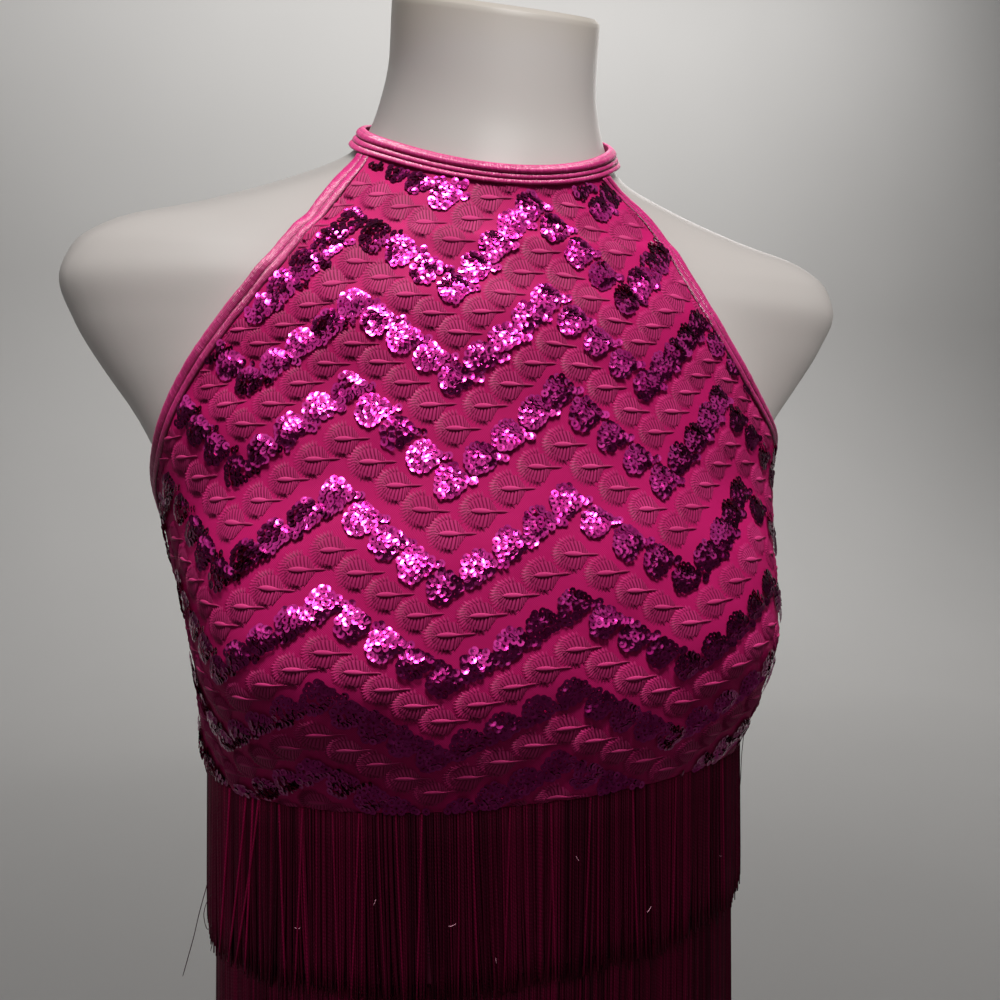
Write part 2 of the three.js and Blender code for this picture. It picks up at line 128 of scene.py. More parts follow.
# outer line of the armhole bindings from the neck to the side seam: angle and row at
# even steps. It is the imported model's line with its small waves taken out, by 2 mm at most.
ARM_LEFT = [
    (79.50, 594.00), (77.86, 586.52), (76.10, 580.01), (73.49, 574.99), (71.65, 568.97), (71.05, 561.39),
    (70.01, 552.61), (68.06, 543.43), (66.58, 533.48), (65.81, 524.33), (65.92, 515.23), (66.56, 506.51),
    (67.51, 498.86), (68.64, 491.51), (69.86, 484.06), (71.29, 476.58), (72.70, 468.89), (74.09, 460.91),
    (75.73, 453.04), (77.85, 445.96), (80.51, 440.06), (83.37, 434.43), (86.18, 428.44), (89.05, 422.62),
    (92.00, 417.00),
]
ARM_RIGHT = [
    (47.00, 597.00), (53.13, 588.01), (60.87, 581.29), (64.07, 574.02), (65.62, 566.71), (65.90, 557.95),
    (63.01, 547.96), (59.98, 536.45), (58.40, 525.57), (57.70, 515.17), (57.59, 505.18), (58.67, 497.34),
    (60.11, 489.97), (61.90, 482.97), (64.12, 476.56), (66.39, 470.38), (68.89, 464.77), (71.73, 460.16),
    (74.47, 454.87), (77.10, 448.88), (79.85, 443.04), (82.78, 437.47), (85.83, 431.96), (88.91, 426.49),
    (92.00, 421.00),
]
# outer line of the back binding: angle, row on the -X side, row on the +X side
BACK_LINE = [(92, 417, 421), (103, 407, 409), (120, 400, 400.5), (150, 396, 396), (180, 395, 395)]


# ---------------------------------------------------------------- lofts
def slopes(x, y):
    h, d = np.diff(x), np.diff(y) / np.diff(x)
    m = np.zeros(len(x))
    for i in range(1, len(x) - 1):
        if d[i - 1] * d[i] > 0:
            w1, w2 = 2 * h[i] + h[i - 1], h[i] + 2 * h[i - 1]
            m[i] = (w1 + w2) / (w1 / d[i - 1] + w2 / d[i])
    m[0], m[-1] = d[0], d[-1]
    return m


def curve(x, y):
    """Monotone cubic through (x, y), straight beyond its ends."""
    x, y = np.asarray(x, float), np.asarray(y, float)
    m = slopes(x, y)

    def at(t):
        t = np.asarray(t, float)
        i = np.clip(np.searchsorted(x, t, side="left") - 1, 0, len(x) - 2)
        h = x[i + 1] - x[i]
        s = (t - x[i]) / h
        s2, s3 = s * s, s * s * s
        r = y[i] * (2 * s3 - 3 * s2 + 1) + h * m[i] * (s3 - 2 * s2 + s)
        r = r + y[i + 1] * (3 * s2 - 2 * s3) + h * m[i + 1] * (s3 - s2)
        r = np.where(s < 0, y[0] + m[0] * (t - x[0]), r)
        return np.where(s > 1, y[-1] + m[-1] * (t - x[-1]), r)

    return at


def loft(rows):
    rows = np.array(rows, float)
    cols = [curve(rows[:, 0], rows[:, k]) for k in range(1, 11)]

    def at(deg, row, off=0.0):
        deg, row = np.broadcast_arrays(np.asarray(deg, float), np.asarray(row, float))
        g = (deg + 180) % 360 - 180
        p = np.radians(g)
        S, C = np.sin(p), np.cos(p)
        a, bf, bb, y0, nf, nb, sa, sb, cup, tilt = [f(row) for f in cols]
        a = a + off
        b = np.where(C > 0, bf, bb) + off
        n = np.where(C > 0, nf, nb)
        r1 = 1 / ((np.abs(S) / a) ** n + (np.abs(C) / b) ** n) ** (1 / n)
        r1 = r1 * (1 + cup * (np.exp(-(((g - BUST_ANGLE) / BUST_SPREAD) ** 2)) + np.exp(-(((g + BUST_ANGLE) / BUST_SPREAD) ** 2))))
        q = STUB_POWER
        r2 = 1 / ((np.abs(S) / (sa + off)) ** q + (np.abs(C) / (sb + off)) ** q) ** (1 / q)
        r = (r1**JOIN_POWER + r2**JOIN_POWER) ** (1 / JOIN_POWER)
        y = -r * C
        return np.stack([r * S, y + y0, row + tilt * y], -1)

    return at


form_at = loft(FORM_ROWS)
cloth_at = loft(CLOTH_ROWS)


def climb(skew, rise):
    return lambda deg: skew * np.sin(np.radians(deg)) + rise * np.sin(np.radians(deg)) ** 2


def neck_row(deg):
    return NECK_ROW + climb(NECK_SKEW, NECK_RISE)(deg)


def hem_row(deg):
    return HEM_ROW + climb(HEM_SKEW, HEM_RISE)(deg)


low_climb = climb(LOW_SKEW, LOW_RISE)


def hem_at(deg, z, off):
    p = cloth_at(deg, hem_row(deg), off)
    p[..., 2] = z
    return p


def normal_at(deg, row, at=cloth_at):
    """Unit normal, and the steps per degree and per millimetre of row."""
    P = at(deg, row)
    G = (at(deg + 0.4, row) - at(deg - 0.4, row)) / 0.8
    V = (at(deg, row + 0.4) - at(deg, row - 0.4)) / 0.8
    N = np.cross(G, V)
    N /= np.linalg.norm(N, axis=-1, keepdims=True)
    return P, G, V, N


def in_surface(deg, row, B):
    """The (angle, row) step that moves a cloth point by the vector B."""
    P, G, V, N = normal_at(deg, row)
    gg, gv, vv = (G * G).sum(-1), (G * V).sum(-1), (V * V).sum(-1)
    bg, bv = (B * G).sum(-1), (B * V).sum(-1)
    det = gg * vv - gv * gv
    return (bg * vv - bv * gv) / det, (bv * gg - bg * gv) / det


def arm_line(side, steps=120):
    A = np.array(ARM_LEFT if side < 0 else ARM_RIGHT, float)
    t = np.arange(len(A), dtype=float)
    s = np.linspace(0, len(A) - 1, steps + 1)
    return side * eased(curve(t, A[:, 0])(s), steps // 48), eased(curve(t, A[:, 1])(s), steps // 48)


def eased(x, sigma):
    """A line of evenly spaced numbers, smoothed, with its ends kept."""
    n = 3 * sigma
    i = np.arange(-n, n + 1)
    w = np.exp(-0.5 * (i / sigma) ** 2)
    w /= w.sum()
    ends = 2 * x[0] - x[n:0:-1], 2 * x[-1] - x[-2 : -n - 2 : -1]
    return np.convolve(np.concatenate([ends[0], x, ends[1]]), w, "valid")


def back_row(deg):
    g = (np.asarray(deg, float) + 180) % 360 - 180
    B = np.array(BACK_LINE, float)
    return np.where(g < 0, curve(B[:, 0], B[:, 1])(np.abs(g)), curve(B[:, 0], B[:, 2])(np.abs(g)))


def inset(g, v, dist, turn):
    """A line moved along the cloth, to the side given by turn."""
    P = cloth_at(g, v)
    T = np.empty_like(P)
    T[1:-1] = P[2:] - P[:-2]
    T[0], T[-1] = P[1] - P[0], P[-1] - P[-2]
    T /= np.linalg.norm(T, axis=1, keepdims=True)
    N = normal_at(g, v)[3]
    dg, dv = in_surface(g, v, np.cross(N, T) * (turn * dist))
    return g + dg, v + dv


def from_neck(g, v, gap):
    f = v - (neck_row(g) - gap)
    i = int(np.argmax(f <= 0))
    s = f[i - 1] / (f[i - 1] - f[i])
    return np.r_[g[i - 1] + s * (g[i] - g[i - 1]), g[i:]], np.r_[v[i - 1] + s * (v[i] - v[i - 1]), v[i:]]


def resample(g, v, n):
    P = cloth_at(g, v)
    L = np.r_[0, np.cumsum(np.linalg.norm(np.diff(P, axis=0), axis=1))]
    s = np.linspace(0, L[-1], n + 1)
    return np.interp(s, L, g), np.interp(s, L, v)


# ---------------------------------------------------------------- meshes
def make(name, verts, faces, mats, replaces=(), index=None, attrs=None, uvs=None, smooth=True, ride="root"):
    """One piece from millimetre points. faces is a list of index arrays. attrs holds
    one number for each point, uvs one pair for each face corner."""
    me = bpy.data.meshes.new(name)
    verts = np.asarray(verts, float).reshape(-1, 3) * MM
    faces = [np.asarray(f, np.int32) for f in faces if len(f)]
    loops = np.concatenate([f.ravel() for f in faces])
    sizes = np.concatenate([np.full(len(f), f.shape[1], np.int32) for f in faces])
    me.vertices.add(len(verts))
    me.vertices.foreach_set("co", verts.astype(np.float32).ravel())
    me.loops.add(len(loops))
    me.loops.foreach_set("vertex_index", loops)
    me.polygons.add(len(sizes))
    me.polygons.foreach_set("loop_start", np.r_[0, np.cumsum(sizes)[:-1]].astype(np.int32))
    me.polygons.foreach_set("use_smooth", np.full(len(sizes), bool(smooth)))
    for m in mats:
        me.materials.append(m)
    if index is not None:
        me.polygons.foreach_set("material_index", np.asarray(index, np.int32))
    for key, val in (attrs or {}).items():
        a = me.attributes.new(key, "FLOAT", "POINT")
        a.data.foreach_set("value", np.asarray(val, np.float32).ravel())
    for key, val in (uvs or {}).items():
        layer = me.uv_layers.new(name=key)
        val = np.asarray(val, np.float32)
        if len(val) != len(loops):
            val = val[loops]
        layer.data.foreach_set("uv", val.ravel())
    me.update(calc_edges=True)
    me.validate()
    ob = bpy.data.objects.new(name, me)
    bpy.context.scene.collection.objects.link(ob)
    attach(ob, ride)
    if replaces:
        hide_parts(*replaces)
    return ob


def grid_faces(nu, nv, closed=False, base=0, flip=False):
    """Quads of a grid stored row by row: nv + 1 rows of nu + 1 points (nu if closed)."""
    cu = nu if closed else nu + 1
    i, j = np.meshgrid(np.arange(nu), np.arange(nv))
    a, b = j * cu + i, j * cu + (i + 1) % cu
    q = np.stack([a, b, b + cu, a + cu], -1).reshape(-1, 4) + base
    return q[:, ::-1] if flip else q


def wall_mesh(outer, inner, closed):
    """A closed wall between two grids of points, each (rows, columns, 3)."""
    nv, cu = outer.shape[0] - 1, outer.shape[1]
    nu = cu if closed else cu - 1
    n = cu * (nv + 1)
    verts = np.concatenate([outer.reshape(-1, 3), inner.reshape(-1, 3)])
    faces = [grid_faces(nu, nv, closed), grid_faces(nu, nv, closed, n, True)]
    i = np.arange(nu)
    j = (i + 1) % cu
    faces.append(np.stack([j, i, i + n, j + n], -1))
    top = nv * cu
    faces.append(np.stack([i + top, j + top, j + top + n, i + top + n], -1))
    if not closed:
        r = np.arange(nv) * cu
        faces.append(np.stack([r, r + cu, r + cu + n, r + n], -1))
        r = r + nu
        faces.append(np.stack([r + cu, r, r + n, r + cu + n], -1))
    return verts, faces


def swept(profile, n_along, closed):
    """profile(i) points for each step: array (steps, k, 3), each a closed section."""
    P = profile
    k = P.shape[1]
    steps = P.shape[0]
    verts = P.reshape(-1, 3)
    a = np.arange(steps if closed else steps - 1)[:, None] * k + np.arange(k)[None]
    b = np.arange(steps if closed else steps - 1)[:, None] * k + (np.arange(k)[None] + 1) % k
    nxt = k if not closed else None
    if closed:
        up = lambda x: (x + k) % (steps * k)
    else:
        up = lambda x: x + k
    q = np.stack([a, b, up(b), up(a)], -1).reshape(-1, 4)
    return verts, q


def area_of(P):
    """Area of a grid of points (rows, columns, 3), in square metres."""
    a = P[1:, :-1] - P[:-1, :-1]
    b = P[:-1, 1:] - P[:-1, :-1]
    c = P[1:, 1:] - P[:-1, 1:]
    d = P[1:, 1:] - P[1:, :-1]
    return 0.5e-6 * (np.linalg.norm(np.cross(a, b), axis=-1).sum() + np.linalg.norm(np.cross(c, d), axis=-1).sum())


def waves(x, y, seed, scale, n=7):
    """Smooth seeded noise of about unit size, from a few sine waves."""
    r = np.random.default_rng(seed)
    out = 0
    for _ in range(n):
        k, a, p = r.uniform(0.5, 1.5) / scale, r.uniform(0, 2 * np.pi), r.uniform(0, 2 * np.pi)
        out = out + np.sin(2 * np.pi * k * (x * np.cos(a) + y * np.sin(a)) + p)
    return out / np.sqrt(n)


# ---------------------------------------------------------------- materials
def srgb(r, g, b):
    f = lambda c: c / 255 / 12.92 if c / 255 <= 0.04045 else ((c / 255 + 0.055) / 1.055) ** 2.4
    return (f(r), f(g), f(b), 1.0)


class Nodes:
    """A material being put together."""

    def __init__(self, name):
        self.mat = bpy.data.materials.new(name)
        self.mat.use_nodes = True
        self.nt = self.mat.node_tree
        self.bsdf = self.nt.nodes["Principled BSDF"]

    def add(self, kind, out=0, props=None, **inputs):
        n = self.nt.nodes.new(kind)
        for k, v in (props or {}).items():
            setattr(n, k, v)
        for k, v in inputs.items():
            key = int(k[1:]) if k[0] == "i" and k[1:].isdigit() else k.replace("_", " ")
            self.put(n.inputs[key], v)
        return n.outputs[out]

    def put(self, socket, v):
        if isinstance(v, bpy.types.NodeSocket):
            self.nt.links.new(v, socket)
        else:
            socket.default_value = v

    def math(self, op, a, b=0.0, c=0.0, clamp=False):
        n = self.nt.nodes.new("ShaderNodeMath")
        n.operation = op
        n.use_clamp = clamp
        for s, v in zip(n.inputs, (a, b, c)):
            self.put(s, v)
        return n.outputs[0]

    def mix(self, fac, a, b):
        n = self.nt.nodes.new("ShaderNodeMix")
        n.data_type = "RGBA"
        self.put(n.inputs[0], fac)
        self.put(n.inputs[6], a)
        self.put(n.inputs[7], b)
        return n.outputs[2]

    def attr(self, name):
        n = self.nt.nodes.new("ShaderNodeAttribute")
        n.attribute_name = name
        return n.outputs["Fac"]

    def uv(self, name):
        n = self.nt.nodes.new("ShaderNodeUVMap")
        n.uv_map = name
        x = self.nt.nodes.new("ShaderNodeSeparateXYZ")
        self.nt.links.new(n.outputs[0], x.inputs[0])
        return x.outputs[0], x.outputs[1], n.outputs[0]

    def obj(self):
        return self.nt.nodes.new("ShaderNodeTexCoord").outputs["Object"]

    def noise(self, vector, scale, detail=2.0, rough=0.5):
        return self.add("ShaderNodeTexNoise", 0, Vector=vector, Scale=scale, Detail=detail, Roughness=rough)

    def ramp(self, fac, lo, hi, a=0.0, b=1.0):
        n = self.nt.nodes.new("ShaderNodeMapRange")
        self.put(n.inputs[0], fac)
        for i, v in enumerate((lo, hi, a, b)):
            self.put(n.inputs[1 + i], v)
        return n.outputs[0]

    def bump(self, height, strength, distance, normal=None):
        n = self.nt.nodes.new("ShaderNodeBump")
        n.inputs["Strength"].default_value = strength
        n.inputs["Distance"].default_value = distance
        self.put(n.inputs["Height"], height)
        if normal is not None:
            self.nt.links.new(normal, n.inputs["Normal"])
        return n.outputs[0]

    def set(self, **kw):
        for k, v in kw.items():
            self.put(self.bsdf.inputs[k.replace("_", " ")], v)
        return self.mat


def plastic_material():
    m = Nodes("form_plastic")
    o = m.obj()
    patch = m.noise(o, 5.0, 3.0)
    fine = m.noise(o, 900.0, 2.0)
    col = m.mix(m.ramp(patch, 0.35, 0.7), srgb(224, 218, 214), srgb(218, 211, 206))
    x = m.nt.nodes.new("ShaderNodeSeparateXYZ")
    m.nt.links.new(o, x.inputs[0])
    top = m.math("ADD", x.outputs[2], m.math("MULTIPLY", m.noise(o, 16.0, 2.0), 0.03))
    col = m.mix(m.ramp(top, 0.628, 0.672, 0.0, 0.8), col, srgb(214, 200, 176))
    rough = m.ramp(m.noise(o, 22.0, 3.0), 0.3, 0.7, 0.36, 0.46)
    bump = m.bump(fine, 0.06, 0.0002)
    return m.set(Base_Color=col, Roughness=rough, Normal=bump, Specular_IOR_Level=0.45, Coat_Weight=0.06, Coat_Roughness=0.3)


def cloth_material():
    """Fine net over a knit lining. Map cloth holds millimetres along the cloth."""
    m = Nodes("sequin_cloth")
    u, v, uv = m.uv("cloth")
    k = 2 * math.pi / 0.85
    d1 = m.math("SINE", m.math("MULTIPLY", m.math("ADD", u, v), k))
    d2 = m.math("SINE", m.math("MULTIPLY", m.math("SUBTRACT", u, v), k))
    net = m.math("MAXIMUM", d1, d2)
    rib = m.math("SINE", m.math("MULTIPLY", u, 2 * math.pi / 0.42))
    patch = m.noise(m.obj(), 38.0, 4.0, 0.55)
    base = m.mix(m.ramp(patch, 0.3, 0.7), srgb(186, 26, 98), srgb(198, 32, 106))
    col = m.mix(m.ramp(net, 0.0, 1.0, 0.0, 0.6), base, srgb(150, 12, 78))
    height = m.math("ADD", m.math("MULTIPLY", net, 0.6), m.math("MULTIPLY", rib, 0.15))
    bump = m.bump(height, 0.35, 0.00022)
    rough = m.ramp(net, -1.0, 1.0, 0.62, 0.5)
    return m.set(Base_Color=col, Roughness=rough, Normal=bump, Specular_IOR_Level=0.06)


def thread_material():
    """Satin stitch. One attribute is 1 between stitches and on the spindle's lower side, and there the colour is
    painted darker, a painted shade; tone runs from the comb to the spindle.
    """
    m = Nodes("satin_stitch")
    st, tone, rnd, deep = m.attr("stitch"), m.attr("tone"), m.attr("shade"), m.attr("deep")
    fine = m.math("SINE", m.math("MULTIPLY", st, 8 * math.pi))
    groove = m.ramp(deep, 0.4, 0.85)
    a = m.mix(tone, srgb(164, 32, 92), srgb(194, 54, 116))
    b = m.mix(m.math("MULTIPLY", rnd, 0.5), a, srgb(150, 20, 78))
    # painted shade: darker colour between stitches and under the spindle
    col = m.mix(groove, b, m.mix(tone, srgb(88, 4, 44), srgb(116, 10, 60)))
    bump = m.bump(fine, 0.35, 0.00012)
    return m.set(Base_Color=col, Roughness=0.5, Normal=bump, Specular_IOR_Level=0.1)


def sequin_material():
    m = Nodes("sequin_foil")
    tone, rad = m.attr("tone"), m.attr("rad")
    col = m.mix(tone, srgb(120, 16, 80), srgb(164, 46, 120))
    # painted shade: the foil round the hole is darker, standing in for the shadowed hole
    col = m.mix(m.ramp(rad, 0.3, 0.0), col, srgb(60, 4, 40))
    rough = m.ramp(tone, 0.0, 1.0, 0.2, 0.12)
    return m.set(Base_Color=col, Metallic=1.0, Roughness=rough)


def satin_material():
    """Binding tape. Map tape holds millimetres across and along it."""
    m = Nodes("satin_binding")
    a, l, uv = m.uv("tape")
    at = m.nt.nodes.new("ShaderNodeCombineXYZ")
    m.put(at.inputs[0], m.math("MULTIPLY", a, 0.34))
    m.put(at.inputs[1], m.math("MULTIPLY", l, 1.0))
    mottle = m.noise(at.outputs[0], 0.95, 3.0, 0.6)
    rib = m.math("SINE", m.math("ADD", m.math("MULTIPLY", l, 2 * math.pi / 0.62), m.math("MULTIPLY", mottle, 5.0)))
    patch = m.noise(m.obj(), 60.0, 3.0)
    groove = m.attr("groove")
    col = m.mix(m.ramp(patch, 0.3, 0.7), srgb(186, 24, 104), srgb(204, 38, 122))
    # painted highlight: lighter pink on the mottle's high spots, and painted shade on its low spots
    col = m.mix(m.ramp(mottle, 0.54, 0.84), col, srgb(242, 92, 166))
    col = m.mix(m.ramp(mottle, 0.5, 0.25, 0.0, 0.55), col, srgb(172, 20, 98))
    # painted shade in the grooves between the rows of stitching and along the inner edge
    col = m.mix(m.ramp(groove, 0.25, 0.95, 0.0, 0.85), col, srgb(96, 4, 50))
    h = m.math("ADD", m.math("MULTIPLY", rib, 0.22), m.math("MULTIPLY", mottle, 1.6))
    bump = m.bump(h, 0.7, 0.00035)
    rough = m.ramp(mottle, 0.3, 0.7, 0.42, 0.28)
    return m.set(Base_Color=col, Roughness=rough, Normal=bump, Sheen_Weight=0.06, Sheen_Roughness=0.3, Sheen_Tint=srgb(255, 190, 225), Specular_IOR_Level=0.6)


def knit_material():
    m = Nodes("midriff_knit")
    u, v, uv = m.uv("cloth")
    a = m.math("SINE", m.math("MULTIPLY", u, 2 * math.pi / 1.0))
    b = m.math("SINE", m.math("MULTIPLY", v, 2 * math.pi / 1.3))
    h = m.math("ADD", m.math("ABSOLUTE", a), m.math("MULTIPLY", b, 0.4))
    # painted shade: darker colour in the knit's hollows, where its bump is low
    col = m.mix(m.ramp(h, 0.0, 1.3), srgb(120, 8, 60), srgb(184, 28, 104))
    return m.set(Base_Color=col, Roughness=0.75, Normal=m.bump(h, 0.5, 0.0003), Sheen_Weight=0.2)


def fringe_material():
    """Twisted viscose. run holds millimetres down a thread, shade its own tone."""
    m = Nodes("fringe_thread")
    run, shade, turn = m.attr("run"), m.attr("shade"), m.attr("turn")
    twist = m.math("SINE", m.math("ADD", m.math("ADD", m.math("MULTIPLY", run, 2 * math.pi / 1.5), m.math("MULTIPLY", shade, 173.0)), m.math("MULTIPLY", turn, 2 * math.pi)))
    col = m.mix(shade, srgb(52, 0, 22), srgb(146, 6, 66))
    # painted shade in the grooves of the twist
    col = m.mix(m.ramp(twist, -1.0, 0.2, 0.35, 0.0), col, srgb(24, 0, 7))
    bump = m.bump(twist, 0.4, 0.00015)
    return m.set(Base_Color=col, Roughness=0.6, Normal=bump, Specular_IOR_Level=0.08)


def loose_material():
    m = Nodes("loose_thread")
    run = m.attr("run")
    twist = m.math("SINE", m.math("MULTIPLY", run, 2 * math.pi / 1.2))
    # painted shade in the grooves of the twist, lighter on its ridges
    col = m.mix(m.ramp(twist, -1.0, 1.0), srgb(26, 4, 12), srgb(62, 10, 32))
    return m.set(Base_Color=col, Roughness=0.5, Normal=m.bump(twist, 0.3, 0.0001))


def lint_material():
    m = Nodes("lint")
    col = m.mix(m.ramp(m.noise(m.obj(), 900.0, 2.0), 0.3, 0.7), srgb(160, 104, 124), srgb(188, 132, 150))
    return m.set(Base_Color=col, Roughness=0.8)


PLASTIC, CLOTH, STITCH, SEQUIN = plastic_material(), cloth_material(), thread_material(), sequin_material()
SATIN, KNIT, FRINGE, LOOSE, LINT_FIBRE = satin_material(), knit_material(), fringe_material(), loose_material(), lint_material()

# ---------------------------------------------------------------- dress form
v = np.unique(np.r_[np.arange(0, 12, 3), np.arange(12, 480, 7.0), np.arange(480, 600, 2.5), np.arange(600, 646, 4.0), 646, 648, 648.6, 649.2, 649.7, 650])
N = 180
deg = np.arange(N) * 360 / N - 180
P = form_at(deg[None, :], v[:, None])
top_c = P[-1].mean(0)
low_c = P[0].mean(0)
rings = [P[-1] + (top_c - P[-1]) * f + np.array([0, -0.1, 0.4]) * math.sin(f * math.pi / 2) for f in (0.03, 0.1, 0.35, 0.7, 0.97)]
lows = [P[0] + (low_c - P[0]) * f for f in (0.97, 0.6, 0.12, 0.02)]
P = np.concatenate([np.array(lows), P, np.array(rings)])
faces = [grid_faces(N, len(P) - 1, True)]
n0, nt = 0, (len(P) - 1) * N
i = np.arange(N)
verts = np.concatenate([P.reshape(-1, 3), [low_c], [top_c + np.array([0, -0.1, 0.4])]])
faces.append(np.stack([(i + 1) % N, i, np.full(N, len(verts) - 2)], -1))
faces.append(np.stack([i + nt, (i + 1) % N + nt, np.full(N, len(verts) - 1)], -1))
form = make("form_shell", verts, faces, [PLASTIC], ["dress_form"])

# ---------------------------------------------------------------- bodice cloth
EDGE = {}
for side in (-1, 1):
    g, vv = arm_line(side, 240)
    EDGE[side] = inset(g, vv, BINDING_WIDTH - 2.6, -side)
IN_EDGE = {side: inset(*arm_line(side, 240), BINDING_WIDTH + 0.2, -side) for side in (-1, 1)}


def edge_angle(side, row, lines):
    """Angle of the armhole edge at a row; the side seam below it."""
    g, vv = lines[side]
    k = np.argsort(vv)
    a = np.interp(row, vv[k], g[k])
    lim = SIDE_SEAM - 0.075
    a = np.where(row <= vv.min(), side * lim, a)
    return np.clip(a, -lim, lim)


def row_to_edge(deg, v):
    """Rows that blend to the hem below and to the neck seam above."""
    low = v + (hem_row(deg) - HEM_ROW) * (351 - v) / (351 - HEM_ROW)
    w = (v - 545) / (582 - 545)
    high = v + w * (neck_row(deg) + 1.6 - 582)
    return np.where(v < 351, low, np.where(v > 545, high, v))


def soft(deg, row):
    """Small creases of the worn cloth: a heavy, stitched cloth that barely folds."""
    x = cloth_at(deg, row)
    s = np.radians(deg) * 120
    low = np.clip((352 - row) / 46, 0, 1)
    hem = 0.75 * low * waves(s, row * 0.25, 5, 34) + 0.35 * low * waves(s, row * 0.3, 6, 13)
    drag = 0.35 * waves(s, row, 8, 48)
    return hem + drag


NU, NV = 176, 124
rows_v = HEM_ROW + (582 - HEM_ROW) * np.linspace(0, 1, NV + 1)
A, Bv = [], []
for v0 in rows_v:
    gl, gr = -SIDE_SEAM + 0.075, SIDE_SEAM - 0.075
    for _ in range(8):
        gl = float(edge_angle(-1, row_to_edge(gl, v0), EDGE))
        gr = float(edge_angle(1, row_to_edge(gr, v0), EDGE))
    d = np.linspace(gl, gr, NU + 1)
    A.append(d)
    Bv.append(row_to_edge(d, v0))
A, Bv = np.array(A), np.array(Bv)


def hem_curl(deg, row):
    """The turned hem: the last millimetres roll a little inwards."""
    d = row - hem_row(deg)
    return -0.45 * np.clip(1 - d / 2.2, 0, 1) ** 2


def cloth_grid(deg, row, off):
    return cloth_at(deg, row, off + soft(deg, row) + hem_curl(deg, row))


front_out, front_in = cloth_grid(A, Bv, 0.0), cloth_grid(A, Bv, -1.05)


def cloth_map(P):
    """Millimetres across and up the cloth, from the middle column and lowest row."""
    d = np.linalg.norm(np.diff(P, axis=1), axis=-1)
    u = np.concatenate([np.zeros((len(P), 1)), np.cumsum(d, 1)], 1)
    u -= u[:, P.shape[1] // 2][:, None]
    e = np.linalg.norm(np.diff(P[:, P.shape[1] // 2], axis=0), axis=-1)
    w = np.r_[0, np.cumsum(e)][:, None] + 0 * u
    return np.stack([u, w], -1)


verts, faces = wall_mesh(front_out, front_in, False)
cm = cloth_map(front_out).reshape(-1, 2)
front = make("front_cloth", verts, faces, [CLOTH], ["front_panel"], uvs={"cloth": np.concatenate([cm, cm])})

NUb, NVb = 150, 40
db = np.linspace(SIDE_SEAM + 0.075, 360 - SIDE_SEAM - 0.075, NUb + 1)[None, :]
tb = np.linspace(0, 1, NVb + 1)[:, None]
high = back_row(db) - BINDING_WIDTH + 2.6
Rb = hem_row(db) + (high - hem_row(db)) * tb
Db = db + 0 * tb
back_out, back_in = cloth_grid(Db, Rb, 0.0), cloth_grid(Db, Rb, -1.05)
verts, faces = wall_mesh(back_out, back_in, False)
cm = cloth_map(back_out).reshape(-1, 2)
back = make("back_cloth", verts, faces, [CLOTH], ["back_panel"], uvs={"cloth": np.concatenate([cm, cm])})


# ---------------------------------------------------------------- bindings
def tape_section(width, top, under, cuts, tall):
    """Closed section of a tape folded over an edge: (across, height, painted shade in the
    grooves), and how many points its outside takes. cuts are where its rows of stitching run, as parts of the width."""
    up = []
    for (c0, c1), hi in list(zip(zip(cuts[:-1], cuts[1:]), tall))[::-1]:
        for f in (1 - np.cos(np.linspace(0, np.pi, 9))) / 2:
            x = width * (c1 + (c0 - c1) * f)
            h = math.sin(math.pi * f) ** 0.5 if 0 < f < 1 else 0.0
            up.append((x, top * (0.3 + (hi - 0.3) * h), (1 - h) ** 1.3))
        up.pop()
    up = [(max(x, 0.3), h, g) for x, h, g in up]
    fold = [(-0.1, top * 0.42, 0.3), (-0.45, top * 0.1, 0.1), (-0.55, -0.5, 0.0), (-0.4, -1.15, 0.0), (0.2, -under + 0.1, 0.0)]
    low = [(x, -under, 0.0) for x in (width * 0.33, width * 0.66, width)]
    # the last point's third number paints a shadow line along the tape's inner edge
    inside = [(width, -under + 0.55, 0.0), (width * 0.5, -under + 0.6, 0.0), (1.0, -under + 0.7, 0.0), (1.0, 0.08, 0.0), (width * 0.5, 0.06, 0.0), (width, 0.06, 0.8)]
    return np.array(up + fold + low + inside), len(up) + len(fold) + len(low)


def puckers(L, seed):
    """Small uneven puckers along a sewn tape, in millimetres of height."""
    L = np.asarray(L, float)
    return 0.045 * waves(L, 0 * L, seed, 2.8, 9) + 0.035 * waves(L, 0 * L, seed + 1, 8.0, 7)


